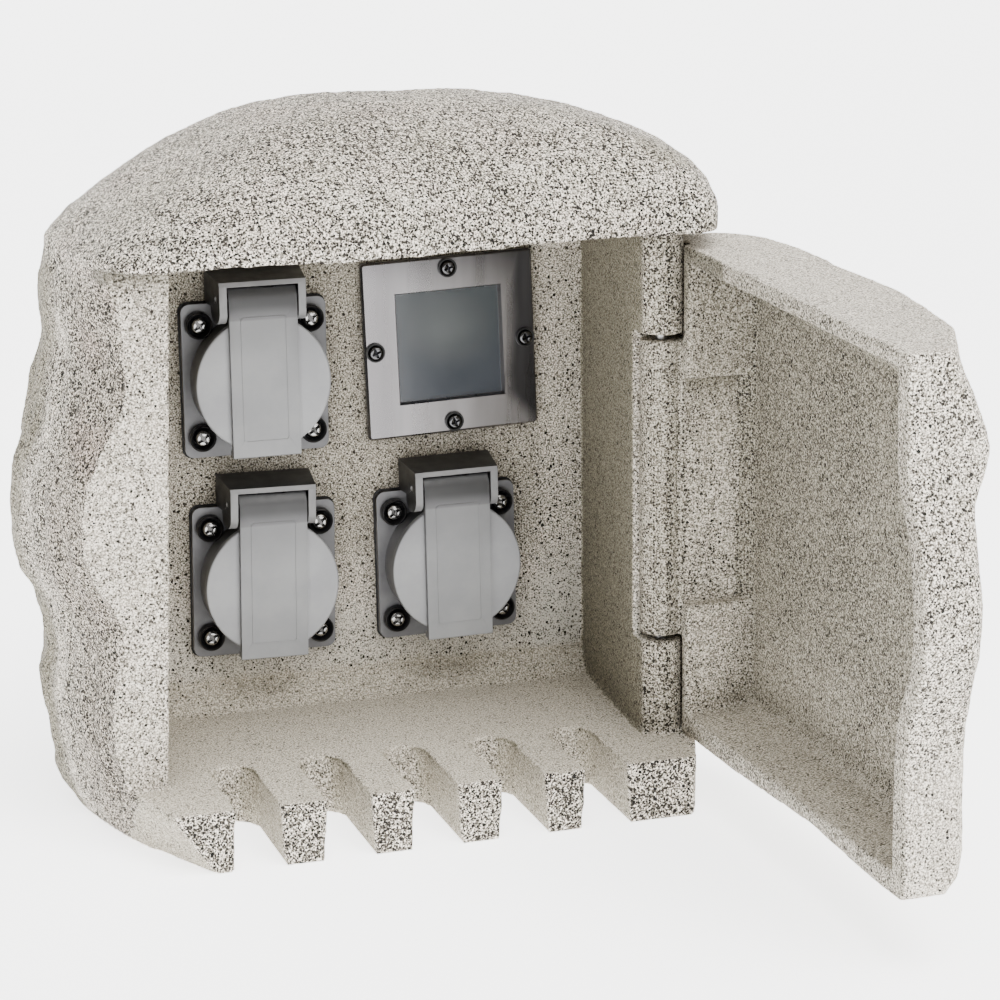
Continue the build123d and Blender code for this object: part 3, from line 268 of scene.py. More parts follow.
# --------------------------------------------------------------------------
# materials
# --------------------------------------------------------------------------
def stone(name):
    t = Tree(name)
    # the grain attribute carries grain coarseness, tint and painted shade, and in its alpha painted occlusion shade
    attr = t.nt.nodes.new("ShaderNodeAttribute")
    attr.attribute_name = "grain"
    grain = t.split(attr.outputs["Color"])
    coarse, brown, painted_shade = grain[0], grain[1], grain[2]
    painted_occlusion_and_crease_shade = attr.outputs["Alpha"]
    # mid grey base with fine dark hollows and pale flecks, livelier where the grain is coarse
    lively = t.ramp(coarse, 0.0, 1.0, 0.30, 1.0)
    fine = t.noise(1900.0, 1.0)
    base = t.mix(t.noise(22.0, 3.0), rgb(168, 160, 146), rgb(186, 178, 164))
    base = t.mix(t.math("MULTIPLY", t.ramp(fine, 0.35, 0.45, 1.0, 0.0), lively), base, rgb(84, 80, 71))
    base = t.mix(t.math("MULTIPLY", t.ramp(fine, 0.50, 0.59), t.math("MULTIPLY_ADD", lively, 0.5, 0.5)),
                 base, rgb(253, 245, 231))
    base = t.mix(t.math("MULTIPLY", brown, 1.0, clamp=True), base, (0.75, 0.745, 0.64, 1.0), "MULTIPLY")
    base = t.mix(t.math("MULTIPLY", brown, -1.0, clamp=True), base, (0.92, 0.79, 0.80, 1.0), "MULTIPLY")
    # painted shade from the attribute's third value darkens the stone; below zero it is painted light and turns it pale
    base = t.mix(t.math("MULTIPLY", painted_shade, 1.0, clamp=True), base, (0.42, 0.42, 0.385, 1.0), "MULTIPLY")
    base = t.mix(t.math("MULTIPLY", painted_shade, -0.85, clamp=True), base, rgb(214, 210, 198))
    gather = t.ramp(t.noise(55.0, 3.0, 0.55, t.stretch(offset=(5, 2, 9))), 0.25, 0.70, -0.025, 0.025)
    more = t.math("MULTIPLY_ADD", coarse, 0.14, gather)
    # fine dark grains, under half a millimetre
    d1, c1 = t.cells(1700.0, t.wobble(2600.0, 0.00010))
    r1 = t.split(c1)
    size1 = t.math("ADD", t.math("MULTIPLY_ADD", r1[0], 0.18, 0.29), more)
    g1 = t.ramp(t.math("SUBTRACT", d1, size1), -0.08, 0.04, 1.0, 0.0)
    g1 = t.math("MULTIPLY", g1, t.ramp(t.math("MULTIPLY_ADD", coarse, 0.14, r1[1]), 0.58, 0.62))
    # main black grains
    d2, c2 = t.cells(1180.0, t.wobble(2600.0, 0.00014, (0.31, 0.17, 0.53)))
    r2 = t.split(c2)
    size2 = t.math("ADD", t.math("MULTIPLY_ADD", r2[0], 0.20, 0.23), more)
    g2 = t.ramp(t.math("SUBTRACT", d2, size2), -0.05, 0.03, 1.0, 0.0)
    g2 = t.math("MULTIPLY", g2, t.ramp(t.math("MULTIPLY_ADD", coarse, 0.32, r2[1]), 0.72, 0.76))
    # a few large ones
    d3, c3 = t.cells(600.0, t.wobble(1500.0, 0.00030, (0.71, 0.43, 0.13)))
    r3 = t.split(c3)
    size3 = t.math("ADD", t.math("MULTIPLY_ADD", r3[0], 0.12, 0.12), more)
    g3 = t.ramp(t.math("SUBTRACT", d3, size3), -0.04, 0.02, 1.0, 0.0)
    g3 = t.math("MULTIPLY", g3, t.ramp(t.math("MULTIPLY_ADD", coarse, 0.12, r3[1]), 0.94, 0.96))
    tint1 = t.mix(r1[2], rgb(98, 92, 82), rgb(36, 34, 30))
    tint2 = t.mix(r2[2], rgb(12, 11, 10), rgb(50, 47, 42))
    tint3 = t.mix(r3[2], rgb(12, 11, 10), rgb(44, 40, 35))
    soft = t.math("MULTIPLY_ADD", coarse, 0.55, 0.45, clamp=True)
    col = t.mix(t.math("MULTIPLY", g1, soft), base, tint1)
    col = t.mix(t.math("MULTIPLY", g2, t.math("MULTIPLY_ADD", coarse, 0.25, 0.75, clamp=True)), col, tint2)
    col = t.mix(g3, col, tint3)
    # painted shade where the stone closes in on itself and along creases: occlusion from rays and painted crease
    # shadows
    col = t.mix(t.math("MULTIPLY", painted_occlusion_and_crease_shade, 0.60, clamp=True), col, rgb(56, 53, 45))
    t.put(t.bsdf.inputs["Base Color"], col)
    t.put(t.bsdf.inputs["Roughness"], t.ramp(r2[0], 0.2, 0.8, 0.80, 0.94))
    t.bsdf.inputs["Specular IOR Level"].default_value = 0.25
    pit = t.math("SUBTRACT", t.noise(820.0, 2.0, 0.6), t.math("MULTIPLY", g2, 0.4))
    n1 = t.bump(t.noise(170.0, 4.0, 0.6), 0.32, 0.0010)
    t.put(t.bsdf.inputs["Normal"], t.bump(pit, 0.40, 0.0005, n1))
    return t.mat


def plastic(name, colour, rough=0.42, grain=2600.0, grain_strength=0.06, mottled=0.06):
    t = Tree(name)
    dark = tuple(c * (1 - mottled * 2) for c in colour[:3]) + (1.0,)
    light = tuple(min(1.0, c * (1 + mottled)) for c in colour[:3]) + (1.0,)
    t.put(t.bsdf.inputs["Base Color"], t.mix(t.ramp(t.noise(90.0, 4.0, 0.6), 0.3, 0.7), dark, light))
    t.put(t.bsdf.inputs["Roughness"], t.ramp(t.noise(240.0, 3.0), 0.3, 0.7, rough - 0.05, rough + 0.07))
    t.put(t.bsdf.inputs["Normal"], t.bump(t.noise(grain, 3.0, 0.6), grain_strength, 0.0002))
    return t.mat


def rubber(name):
    t = Tree(name)
    t.put(t.bsdf.inputs["Base Color"], t.mix(t.noise(300.0, 3.0), rgb(24, 24, 25), rgb(38, 38, 39)))
    t.put(t.bsdf.inputs["Roughness"], t.ramp(t.noise(500.0), 0.3, 0.7, 0.65, 0.85))
    t.put(t.bsdf.inputs["Normal"], t.bump(t.noise(1500.0, 2.0), 0.12, 0.0003))
    return t.mat


def brushed(name, colour, rough=0.3, along="x"):
    t = Tree(name)
    t.bsdf.inputs["Metallic"].default_value = 1.0
    scale = {"x": (60, 60, 3200), "z": (3200, 60, 60)}[along]
    lines = t.noise(1.0, 4.0, 0.6, t.stretch(scale=scale))
    cloud = t.noise(25.0, 3.0)
    lo = tuple(c * 0.86 for c in colour[:3]) + (1.0,)
    t.put(t.bsdf.inputs["Base Color"], t.mix(t.ramp(lines, 0.3, 0.7), lo, colour))
    t.put(t.bsdf.inputs["Roughness"],
          t.math("ADD", t.ramp(lines, 0.25, 0.75, rough - 0.05, rough + 0.08), t.ramp(cloud, 0.3, 0.7, -0.04, 0.06)))
    t.put(t.bsdf.inputs["Normal"], t.bump(lines, 0.10, 0.0002))
    return t.mat


def light_steel(name):
    """Satin steel of the lamp frame, with painted shade towards its right side and top and at its left edge."""
    t = Tree(name)
    t.bsdf.inputs["Metallic"].default_value = 1.0
    lines = t.noise(1.0, 2.0, 0.5, t.stretch(scale=(160, 90, 14)))
    cloud = t.noise(38.0, 3.0, 0.5, t.stretch(scale=(1, 1, 0.5)))
    x, z = t.xyz()[0], t.xyz()[2]
    # painted shade on the right side and the top of the frame
    edge = t.math("MULTIPLY_ADD", cloud, 0.010, x)
    edge = t.math("MULTIPLY_ADD", t.ramp(z, 0.110, 0.126, 1.0, 0.0), -0.008, edge)
    right_side = t.ramp(edge, 0.0615, 0.0685)
    top = t.math("MULTIPLY_ADD", x, 0.16, z)
    top = t.ramp(t.math("MULTIPLY_ADD", cloud, 0.008, top), 0.166, 0.190)
    shade = t.math("MAXIMUM", right_side, top)
    lit = t.mix(t.ramp(lines, 0.3, 0.7), (0.255, 0.247, 0.253, 1.0), (0.290, 0.281, 0.287, 1.0))
    # darker copy of the steel, for the painted shade
    shaded_steel = t.mix(t.ramp(lines, 0.3, 0.7), (0.050, 0.049, 0.052, 1.0), (0.070, 0.068, 0.072, 1.0))
    # painted shade along the left edge
    lit = t.mix(t.ramp(x, 0.014, 0.024, 0.45, 0.0), lit, (0.120, 0.114, 0.118, 1.0))
    t.put(t.bsdf.inputs["Base Color"], t.mix(shade, lit, shaded_steel))
    t.put(t.bsdf.inputs["Roughness"], t.ramp(lines, 0.25, 0.75, 0.26, 0.32))
    t.put(t.bsdf.inputs["Normal"], t.bump(t.noise(900.0, 2.0), 0.012, 0.0001))
    return t.mat


def head(name, bright, dark, seat, rough=0.14):
    """Plated screw, with painted shade and a painted dark reflection on its rim and cross recess close to the seat."""
    t = Tree(name)
    t.bsdf.inputs["Metallic"].default_value = 1.0
    # painted shade and a painted dark reflection on the rim and cross recess, by height above the seat
    high = t.math("SUBTRACT", seat, t.xyz()[1])
    low = t.mix(t.noise(700.0, 2.0), dark, tuple(c * 1.6 for c in dark[:3]) + (1.0,))
    top = t.mix(t.noise(500.0, 2.0), tuple(c * 0.85 for c in bright[:3]) + (1.0,), bright)
    t.put(t.bsdf.inputs["Base Color"], t.mix(t.ramp(high, 0.0009, 0.0016), low, top))
    t.put(t.bsdf.inputs["Roughness"], t.ramp(t.noise(900.0, 3.0), 0.3, 0.7, rough, rough + 0.08))
    t.put(t.bsdf.inputs["Normal"], t.bump(t.noise(1600.0, 2.0), 0.03, 0.0001))
    return t.mat


def socket_body(name, mid):
    """Moulded socket plastic, kept darker than the flap to paint the shade on the flange; painted light on the front of
    the hood and painted shade on its sides and top.
    """
    t = Tree(name)
    n = t.normal()
    y, z = t.xyz()[1], t.xyz()[2]
    cloud = t.ramp(t.noise(90.0, 4.0, 0.6), 0.3, 0.7)
    # dark grey base: the plastic with the shade on the flange painted in
    col = t.mix(cloud, rgb(88, 88, 91), rgb(102, 102, 104))
    # painted light on the front of the hood
    hood = t.math("MULTIPLY", t.ramp(y, 0.0085, 0.0070), t.ramp(z, mid + 0.012, mid + 0.016))
    col = t.mix(hood, col, t.mix(cloud, rgb(112, 112, 113), rgb(126, 126, 127)))
    # painted shade on the sides and top of the hood, under the brow
    turned = t.math("MAXIMUM", t.math("ABSOLUTE", n[0]), n[2])
    turned = t.math("MULTIPLY", t.ramp(turned, 0.5, 0.9), t.ramp(z, mid + 0.010, mid + 0.020))
    col = t.mix(turned, col, t.mix(cloud, rgb(20, 20, 20), rgb(34, 33, 33)))
    t.put(t.bsdf.inputs["Base Color"], col)
    t.put(t.bsdf.inputs["Roughness"], t.ramp(t.noise(240.0, 3.0), 0.3, 0.7, 0.36, 0.46))
    t.put(t.bsdf.inputs["Normal"], t.bump(t.noise(2600.0, 3.0, 0.6), 0.05, 0.0002))
    return t.mat


def socket_lid(name, mid):
    """Moulded flap: the strap a little darker than the disc, with painted shade growing towards the top, darkest on the
    strap's top end, and painted shade on the faces towards the left.
    """
    t = Tree(name)
    n = t.normal()
    y, z = t.xyz()[1], t.xyz()[2]
    cloud = t.ramp(t.noise(60.0, 4.0, 0.6), 0.3, 0.7)
    col = t.mix(cloud, rgb(140, 141, 144), rgb(153, 154, 156))
    strap = t.ramp(y, 0.0042, 0.0034)
    col = t.mix(strap, col, t.mix(cloud, rgb(126, 127, 129), rgb(138, 139, 140)))
    # painted shade growing towards the top, darkest on the bent top end of the strap
    col = t.mix(t.ramp(z, mid + 0.004, mid + 0.0218, 0.0, 0.5), col, rgb(98, 98, 100))
    col = t.mix(t.ramp(z, mid + 0.0216, mid + 0.0224), col, t.mix(t.ramp(z, mid + 0.0220, mid + 0.0270), rgb(96, 96, 98), rgb(50, 50, 51)))
    # painted shade on faces that look to the left
    turned = t.ramp(t.math("MULTIPLY", n[0], -1.0), 0.45, 0.9, 0.0, 0.75)
    col = t.mix(turned, col, rgb(78, 78, 80))
    t.put(t.bsdf.inputs["Base Color"], col)
    t.put(t.bsdf.inputs["Roughness"], t.ramp(t.noise(240.0, 3.0), 0.3, 0.7, 0.32, 0.42))
    t.put(t.bsdf.inputs["Normal"], t.bump(t.noise(2600.0, 3.0, 0.6), 0.05, 0.0002))
    return t.mat


def plated(name, colour, rough=0.12):
    t = Tree(name)
    t.bsdf.inputs["Metallic"].default_value = 1.0
    t.put(t.bsdf.inputs["Base Color"], t.mix(t.noise(400.0, 3.0), tuple(c * 0.85 for c in colour[:3]) + (1.0,), colour))
    t.put(t.bsdf.inputs["Roughness"], t.ramp(t.noise(900.0, 3.0), 0.3, 0.7, rough, rough + 0.14))
    t.put(t.bsdf.inputs["Normal"], t.bump(t.noise(1600.0, 2.0), 0.05, 0.0001))
    return t.mat


def pane(name):
    """Dark glass with a painted pale reflection in the middle."""
    t = Tree(name)
    cloud = t.noise(26.0, 2.0, 0.5, distortion=0.3)
    x, z = t.xyz()[0], t.xyz()[2]
    # painted reflection: pale in the middle of the pane, fading outwards into the dark glass
    dx = t.math("MULTIPLY", t.math("SUBTRACT", x, 0.0375), 50.0)
    dz = t.math("MULTIPLY", t.math("SUBTRACT", z, 0.1465), 62.0)
    away = t.math("POWER", t.math("ADD", t.math("MULTIPLY", dx, dx), t.math("MULTIPLY", dz, dz)), 0.5)
    away = t.math("MULTIPLY_ADD", cloud, 0.7, away)
    foot = t.mix(t.ramp(z, 0.122, 0.158), rgb(44, 50, 59), rgb(50, 56, 60))
    t.put(t.bsdf.inputs["Base Color"], t.mix(t.ramp(away, 0.30, 1.40), rgb(76, 80, 82), foot))
    t.put(t.bsdf.inputs["Roughness"], t.ramp(t.noise(140.0, 2.0), 0.3, 0.7, 0.20, 0.26))
    t.bsdf.inputs["Specular IOR Level"].default_value = 0.5
    t.bsdf.inputs["Coat Weight"].default_value = 0.4
    t.bsdf.inputs["Coat Roughness"].default_value = 0.12
    t.put(t.bsdf.inputs["Normal"], t.bump(t.noise(500.0, 2.0), 0.02, 0.0003))
    return t.mat


def floor_material():
    t = Tree("studio_floor")
    t.put(t.bsdf.inputs["Base Color"], t.mix(t.noise(2.0), (0.90, 0.90, 0.90, 1), (0.93, 0.93, 0.93, 1)))
    t.bsdf.inputs["Roughness"].default_value = 0.9
    t.bsdf.inputs["Specular IOR Level"].default_value = 0.1
    t.bsdf.inputs["Emission Color"].default_value = (1.0, 1.0, 1.0, 1.0)
    t.bsdf.inputs["Emission Strength"].default_value = 2.6
    return t.mat


M = {
    "stone": stone("cast_stone"),
    "dark": plastic("dark_plastic", rgb(58, 58, 59), 0.5),
    "black": plastic("black_plastic", rgb(20, 20, 21), 0.35),
    "ivory": plastic("ivory_plastic", rgb(214, 209, 192), 0.45),
    "rubber": rubber("black_rubber"),
    "steel": plated("drawn_steel", (0.60, 0.60, 0.60, 1.0), 0.25),
    "screw": plated("chrome_screw", (0.50, 0.49, 0.48, 1.0), 0.16),
    "socket_screw": head("socket_screw", (0.36, 0.355, 0.35, 1.0), (0.045, 0.044, 0.043, 1.0), 0.0158),
    "lamp_screw": head("lamp_screw", (0.10, 0.10, 0.104, 1.0), (0.008, 0.008, 0.009, 1.0), 0.0165),
    "frame": light_steel("light_steel"),
    "pane": pane("light_pane_glass"),
    "board": plastic("board_green", rgb(40, 92, 58), 0.4),
    "led": plastic("led_white", rgb(236, 236, 220), 0.3),
    "brass": plated("contact_brass", (0.72, 0.58, 0.30, 1.0), 0.22),
    "brown": plastic("wire_brown", rgb(96, 62, 40), 0.45),
    "blue": plastic("wire_blue", rgb(46, 92, 160), 0.45),
    "earth": plastic("wire_earth", rgb(168, 180, 60), 0.45),
}
for s, (x, z, roll) in SOCKETS.items():
    M["body_" + s] = socket_body("socket_grey_" + s, (OZ + z) * MM)
    M["lid_" + s] = socket_lid("lid_grey_" + s, (OZ + z) * MM)
floor.data.materials.append(floor_material())


def paint(ob, mat):
    ob.data.materials.clear()
    ob.data.materials.append(mat)


ROLES = {
    "body": "body_", "lid": "lid_", "lid_seal": "rubber", "lid_pin": "steel",
    "lid_spring": "steel", "insert": "dark", "contacts": "brass",
    "earth_clips": "brass", "gasket": "rubber", "screw_cups": "black",
    "screws": "socket_screw",
}
OTHERS = {
    "rock_housing": "stone", "rock_door": "stone", "hinge_pin_upper": "steel",
    "hinge_pin_lower": "steel", "light_gasket": "rubber", "light_frame": "frame",
    "light_pane": "pane", "light_box": "dark", "light_board": "board",
    "light_leds": "led", "light_screw_cups": "black", "light_screws": "lamp_screw",
    "rear_gasket": "rubber", "rear_cover": "dark", "rear_screws": "screw",
    "cable_gland_body": "black", "cable_gland_seal": "rubber",
    "cable_gland_nut": "black", "terminal_block": "ivory",
    "terminal_screws": "screw", "wires_live": "brown", "wires_neutral": "blue",
    "wires_earth": "earth",
}
for node, ob in NODES.items():
    if node in OTHERS:
        paint(ob, M[OTHERS[node]])
    else:
        for s in SOCKETS:
            for role, mat in ROLES.items():
                if node == f"socket_{s}_{role}":
                    paint(ob, M[mat + s if mat.endswith("_") else mat])


def soften(node, width, segments=2, angle=35.0):
    """Small rounded edges on a node whose shape is kept."""
    ob = NODES[node]
    weld = ob.modifiers.new("weld", "WELD")
    weld.merge_threshold = 1e-6
    bev = ob.modifiers.new("edge", "BEVEL")
    bev.width = width
    bev.segments = segments
    bev.limit_method = "ANGLE"
    bev.angle_limit = math.radians(angle)
    bev.miter_outer = "MITER_ARC"
    wn = ob.modifiers.new("normals", "WEIGHTED_NORMAL")
    wn.mode = "FACE_AREA"
    wn.weight = 60
    wn.keep_sharp = True
    for poly in ob.data.polygons:
        poly.use_smooth = True


# --------------------------------------------------------------------------
# cast stone pieces
# --------------------------------------------------------------------------
def evaluated(ob):
    dg = bpy.context.evaluated_depsgraph_get()
    return bpy.data.meshes.new_from_object(ob.evaluated_get(dg))


def smoothstep(a, b, x):
    t = max(0.0, min(1.0, (x - a) / (b - a)))
    return t * t * (3 - 2 * t)


def fractal(p, octaves):
    """Sum of a few noise octaves, about -1..1."""
    total, gain, scale = 0.0, 1.0, 1.0
    for _ in range(octaves):
        total += gain * noise.noise(p * scale)
        gain *= 0.5
        scale *= 2.1
    return total


def closeness(me, others, reach, rays):
    """How far each vertex is shut in by stone and fixtures near it, 0..1."""
    me.calc_loop_triangles()
    count = len(me.vertices)
    co = np.empty(count * 3)
    me.vertices.foreach_get("co", co)
    no = np.empty(count * 3)
    me.vertices.foreach_get("normal", no)
    co, no = co.reshape(-1, 3), no.reshape(-1, 3)
    tri = np.empty(len(me.loop_triangles) * 3, dtype=np.int32)
    me.loop_triangles.foreach_get("vertices", tri)
    verts, faces = [co], [tri.reshape(-1, 3)]
    base, own = count, len(faces[0])
    for ob in others:
        om = ob.data
        om.calc_loop_triangles()
        oc = np.empty(len(om.vertices) * 3)
        om.vertices.foreach_get("co", oc)
        ot = np.empty(len(om.loop_triangles) * 3, dtype=np.int32)
        om.loop_triangles.foreach_get("vertices", ot)
        verts.append(oc.reshape(-1, 3))
        faces.append(ot.reshape(-1, 3) + base)
        base += len(om.vertices)
    tree = BVHTree.FromPolygons(np.concatenate(verts).tolist(), np.concatenate(faces).tolist())
    # rays over the half sphere round each normal, turned a little at each vertex
    k = np.arange(rays)
    r = np.sqrt((k + 0.5) / rays)
    up = np.sqrt(1.0 - r * r)
    side = np.cross(no, np.where(np.abs(no[:, 2:3]) < 0.9, [[0.0, 0.0, 1.0]], [[1.0, 0.0, 0.0]]))
    side /= np.linalg.norm(side, axis=1, keepdims=True) + 1e-12
    fwd = np.cross(no, side)
    turn = np.arange(count) * 0.754877
    total = np.zeros(count)
    start = co + no * 0.0007
    cast_ray = tree.ray_cast
    for j in range(rays):
        a = turn + j * 2.399963
        d = (side * np.cos(a)[:, None] + fwd * np.sin(a)[:, None]) * r[j] + no * up[j]
        for i, (p, q) in enumerate(zip(start.tolist(), d.tolist())):
            face, far = cast_ray(p, q, reach)[2:]
            if face is not None and (face < own or far < 0.0045):
                total[i] += 1.0 - 0.6 * far / reach
    total /= rays
    edges = np.empty(len(me.edges) * 2, dtype=np.int32)
    me.edges.foreach_get("vertices", edges)
    e0, e1 = edges[0::2], edges[1::2]
    for _ in range(3):
        acc, num = total.copy(), np.ones(count)
        np.add.at(acc, e0, total[e1])
        np.add.at(acc, e1, total[e0])
        np.add.at(num, e0, 1.0)
        np.add.at(num, e1, 1.0)
        total = acc / num
    return total


def cast(name, node, body, voxel, shift, grain, keep_tris=195000, smooth=2, near=()):
    """Rounds the edges of a cast node and gives it the rough skin of the rock."""
    me = NODES[node].data.copy()
    bm = bmesh.new()
    bm.from_mesh(me)
    bmesh.ops.remove_doubles(bm, verts=bm.verts, dist=1e-6)
    bmesh.ops.recalc_face_normals(bm, faces=bm.faces)
    bm.to_mesh(me)
    bm.free()
    ob = bpy.data.objects.new(name, me)
    bpy.context.scene.collection.objects.link(ob)
    rem = ob.modifiers.new("remesh", "REMESH")
    rem.mode = "VOXEL"
    rem.voxel_size = voxel
    rem.adaptivity = 0.0
    sm = ob.modifiers.new("smooth", "SMOOTH")
    sm.factor = 0.5
    sm.iterations = smooth
    new = evaluated(ob)
    ob.modifiers.clear()
    ob.data = new
    moved = []
    for v in new.vertices:
        moved.append(v.co + v.normal * (shift(v.co / MM, v.normal) * MM))
    new.vertices.foreach_set("co", [c for p in moved for c in p])
    new.update()
    tris = sum(len(p.vertices) - 2 for p in new.polygons)
    if tris > keep_tris:
        dec = ob.modifiers.new("decimate", "DECIMATE")
        dec.ratio = keep_tris / tris
        fewer = evaluated(ob)
        ob.modifiers.clear()
        ob.data = fewer
    for poly in ob.data.polygons:
        poly.use_smooth = True
    # painted occlusion shade: rays from each vertex find stone and nearby fixtures; with the painted crease shadow it
    # goes into the alpha of the grain attribute
    shut = closeness(ob.data, [NODES[n] for n in near], 0.012, 9)
    layer = ob.data.attributes.new("grain", "FLOAT_COLOR", "POINT")
    values = []
    for v, close in zip(ob.data.vertices, shut.tolist()):
        a, b, c, crease = grain(v.co / MM, v.normal)
        values += [a, b, c, min(1.0, 1.35 * close + crease)]
    layer.data.foreach_set("color", values)
    paint(ob, M["stone"])
    ob.data.materials.clear()
    ob.data.materials.append(M["stone"])
    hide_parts(node)
    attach(ob, body)
    return ob


def housing_shift(p, n):
    x, y, z = p.x - OX, p.y - OY, p.z - OZ
    if z < -133.0:
        return 0.0
    hinge = math.hypot(x - HX, y - HY)
    if hinge < 9.5:
        return 0.05 * fractal(p * 0.5, 2)
    inside = (-50.5 < x < 119.5 and -76.5 < y < 3.0 and -117.0 < z < 55.5)
    grain = fractal(p * 0.55, 2)
    if inside or (6.0 < y < 58.0 and -32.0 < x < 102.0 and -127.0 < z < 44.0):
        return 0.06 * grain + 0.10 * noise.noise(p * 0.12)
    back = smoothstep(48.0, 58.0, y)
    land = abs(y + 75.0) < 2.0 and n.y < -0.7
    if land:
        return 0.10 * grain + 0.18 * noise.noise(p * 0.09)
    if z < -113.0 and y < -70.0:
        return 0.12 * grain + 0.25 * noise.noise(p * 0.15)
    if y > 57.0 and -38.0 < x < 108.0:
        return 0.05 * grain
    broad = fractal(p * 0.035, 3)
    mid = fractal(Vector((p.x * 0.13, p.y * 0.13, p.z * 0.11)), 2)
    side = smoothstep(0.35, 0.8, -n.x) * (1.0 - smoothstep(48.0, 60.0, z))
    ridges = abs(noise.noise(Vector((p.x * 0.07, p.y * 0.12, p.z * 0.022))))
    edge = smoothstep(0.0, 1.0, 1.0 - back)
    rough = 0.55 * broad + 0.22 * mid + 0.13 * grain
    rough += side * (2.2 * (ridges - 0.25) + 0.40 * mid)
    if z > 50.0:
        rough = 0.60 * broad + 0.34 * mid + 0.16 * grain
    return rough * edge + 0.08 * grain


def door_shift(p, n):
    # measured with the door swung open, so the outside faces +X
    x, y, z = p.x - OX, p.y - OY, p.z - OZ
    if math.hypot(x - HX, y - HY) < 9.0:
        return 0.04 * fractal(p * 0.5, 2)
    grain = fractal(p * 0.55, 2)
    if n.x < -0.3 or (123.2 < x < 147.0 and -243.0 < y < -78.0 and n.x < 0.5 and abs(n.z) < 0.95
                      and n.y > -0.5):
        return 0.06 * grain + 0.08 * noise.noise(p * 0.12)
    broad = fractal(p * 0.035, 3)
    mid = fractal(p * 0.12, 2)
    return 0.35 * broad + 0.18 * mid + 0.12 * grain


def housing_grain_and_shade(p, n):
    """Coarseness of the grains, brown tint, painted shade and painted crease shadow at a point.

    A tint below zero turns pink; a painted shade below zero is painted light and turns pale.
    """
    x, y, z = p.x - OX, p.y - OY, p.z - OZ
    drift = 0.12 * noise.noise(p * 0.03)
    hue = 0.34 * noise.noise(p * 0.045 + Vector((3.0, 8.0, 1.0)))
    # land under the brow: painted shadow growing towards the brow, and a painted shade line along the crease just under
    # it
    if abs(y + 75.0) < 2.5 and n.y < -0.6 and x < 0 and -117 < z < 50.4:
        eave_shadow = smoothstep(39.0, 50.6, z)
        return 0.46 + drift, 0.5 * hue, 0.10 + 0.85 * eave_shadow * eave_shadow, 1.5 * smoothstep(48.6, 50.4, z)
    # inside the compartment: painted shade on the walls and upper panel, painted light on the lower panel and towards
    # its right end
    if -49.5 < x < 119.0 and -74.0 < y < 3.0 and -116.0 < z < 54.5:
        if n.x < -0.6:
            return 0.42 + drift, 0.48, 0.98, 0.0
        if z < -104.0:
            return 0.20 + drift, 0.30, 0.0, 0.0
        if n.x > 0.6:
            return 0.30 + drift, 0.45, 0.35, 0.0
        top = smoothstep(-20.0, 54.0, z)
        low = smoothstep(-50.0, -95.0, z)
        far = smoothstep(96.0, 104.0, x)
        return 0.72 + drift, 0.02 + 0.5 * hue, 0.55 + 0.18 * top - 1.05 * low - 0.38 * far, 0.0
    # shelf front and teeth: painted shade on the side faces of the teeth
    if z < -113.0 and y < -56.0 and -60.0 < x < 121.0:
        if n.z > 0.7:
            return 0.25 + drift, 0.30, 0.05, 0.0
        if abs(n.x) > 0.6 and y > -101.0 and x < 117.0:
            return 0.30 + drift, 0.35, 0.35, 0.0
        if n.y < -0.6 and y > -70.0:
            return 0.55 + drift, 0.10, 0.10, 0.0
        return 1.05 + drift, 0.0, 0.0, 0.0
    # under the lip of the brow: painted shade and a painted crease shadow
    if 46.0 < z < 57.0 and y < -60.0 and -68.0 < x < -38.0 and (n.z < -0.25 or (z < 52.0 and y < -74.0)):
        return 0.8, 0.0, 0.6, 1.0
    # on the brow, painted light on its lower part; lower down, a little painted shade
    if z > 46.0:
        plain = (1.12 + drift, hue, -0.13 * smoothstep(86.0, 60.0, z), 0.0)
    else:
        plain = (0.95 + drift, hue, 0.05, 0.0)
    side = smoothstep(0.20, 0.55, -n.x) * (1.0 - smoothstep(40.0, 58.0, z)) if x < 0.0 else 0.0
    if side > 0.0:
        # rough front face, darker and pinker; one paler ridge with fewer grains; smoother and greener behind it, with
        # painted shade there
        wave = 5.0 * noise.noise(Vector((0.0, 0.0, p.z * 0.035))) + 2.0 * noise.noise(p * 0.09)
        ridge = smoothstep(6.0, 1.0, abs(y + 38.0 + wave)) * smoothstep(40.0, 24.0, z)
        ridge *= 0.45 + 0.55 * smoothstep(-0.3, 0.3, noise.noise(Vector((2.0, 0.0, p.z * 0.05))))
        behind = smoothstep(-38.0, -26.0, y + wave)
        front = 1.0 - smoothstep(-60.0, -44.0, y + wave)
        blush = smoothstep(-0.2, 0.35, noise.noise(p * 0.05)) * smoothstep(-70.0, -40.0, z)
        shade = 0.60 * behind * (1.0 - smoothstep(25.0, 65.0, y)) + 0.3 * noise.noise(p * 0.04) * behind
        flank = (1.12 + 1.5 * drift - 0.40 * ridge - 0.42 * behind * (1.0 - smoothstep(0.0, 45.0, y)),
                 -(0.20 + 0.45 * blush) * front + 0.22 * behind * (1.0 - smoothstep(10.0, 60.0, y)),
                 0.36 + 0.16 * front - 0.30 * ridge - 0.26 * smoothstep(5.0, 55.0, y) + shade, 0.0)
        return tuple(u + (v - u) * side for u, v in zip(plain, flank))
    # round the hinge knuckles: painted shade
    if math.hypot(x - HX, y - HY) < 9.5:
        return 0.85 + drift, 0.15, 0.50, 0.0
    return plain
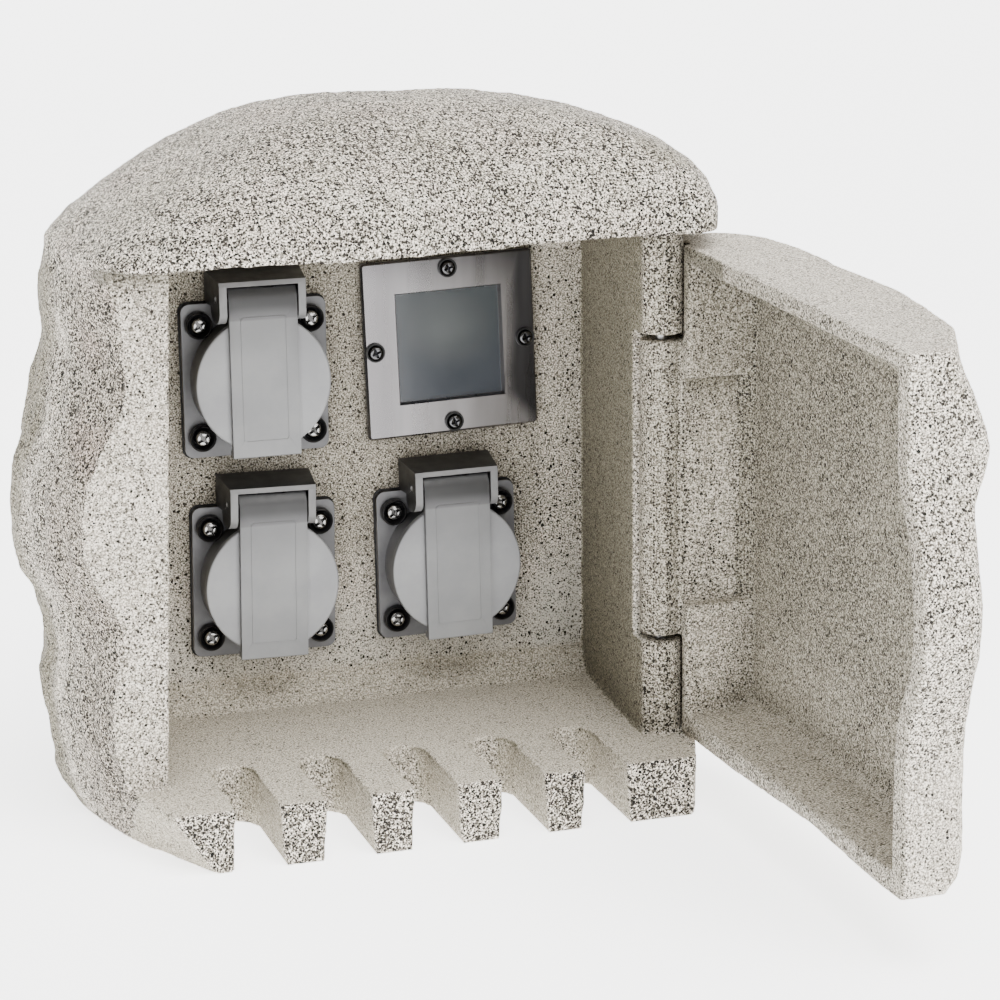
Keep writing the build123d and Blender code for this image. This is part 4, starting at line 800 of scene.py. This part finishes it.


# like the housing: grain coarseness, tint, painted shade (below zero painted light) and a painted crease shadow at a
# point
def door_grain_and_shade(p, n):
    x, y, z = p.x - OX, p.y - OY, p.z - OZ
    drift = 0.12 * noise.noise(p * 0.03)
    # door knuckles: painted shade
    if math.hypot(x - HX, y - HY) < 9.0:
        return 0.75 + drift, 0.14, 0.58, 0.0
    # faces looking up: a little painted shade, more on the lower ones
    if n.z > 0.7:
        if z > 0.0:
            return 0.36 + drift, 0.0, 0.06, 0.0
        return 0.40 + drift, 0.25, 0.28, 0.0
    # tray floor of the open door: painted shade, less low down, and a painted shadow with a crease shadow under the top
    # rim near the hinge
    if n.x < -0.3 and x > 125.0:
        low = smoothstep(-60.0, -100.0, z)
        eave_shadow = smoothstep(26.0, 42.0, z) * smoothstep(-165.0, -95.0, y)
        return 0.84 - 0.2 * low + drift, 0.14 + 0.18 * low, 0.90 - 0.40 * low + 0.40 * eave_shadow, 0.6 * eave_shadow
    # faces looking left: painted shade, and on the hinge-side block painted shade growing upwards with a painted crease
    # shadow near its top
    if n.x < -0.6:
        if -112.0 < y < -78.0 and x > 118.0:
            return 0.66 + drift, 0.10, 0.50 + 0.55 * smoothstep(8.0, 40.0, z), 0.35 * smoothstep(22.0, 42.0, z)
        return 0.70 + drift, 0.08, 0.50, 0.0
    # hinge-side wall below the block: painted shade growing upwards and a painted shadow under the block's ledge
    if n.y < -0.6 and y > -110.0:
        ledge_shadow = smoothstep(-2.0, 5.2, z) if z < 5.6 else 0.0
        return (0.62 + drift, 0.20, 0.16 + 0.42 * smoothstep(-30.0, 10.0, z) + 0.4 * ledge_shadow,
                0.5 * smoothstep(2.6, 5.2, z) if z < 5.4 else 0.0)
    if n.y < -0.6 and y < -225.0:
        return 0.85 - 0.4 * smoothstep(-60.0, -80.0, z) + drift, 0.0, 0.0, 0.0
    # elsewhere: a little painted shade
    return 0.75 + drift, 0.12, 0.12, 0.0


beside = ["light_frame"] + [f"socket_{s}_{k}" for s in SOCKETS for k in ("body", "gasket")] + ["light_gasket"]
housing = cast("rock_housing_skin", "rock_housing", "housing", 0.0009,
               housing_shift, housing_grain_and_shade, near=beside)
door = cast("rock_door_skin", "rock_door", "door", 0.0008, door_shift, door_grain_and_shade)

# --------------------------------------------------------------------------
# fixtures keep their shape and get rounded edges
# --------------------------------------------------------------------------
for s in SOCKETS:
    soften(f"socket_{s}_body", 0.00035)
    soften(f"socket_{s}_lid", 0.00035)
    soften(f"socket_{s}_screw_cups", 0.0002)
    soften(f"socket_{s}_screws", 0.0001)
for poly in NODES["light_frame"].data.polygons:
    poly.use_smooth = False
soften("light_screws", 0.0001)
soften("light_screw_cups", 0.00015)
soften("rear_cover", 0.0004)
soften("cable_gland_body", 0.0003)
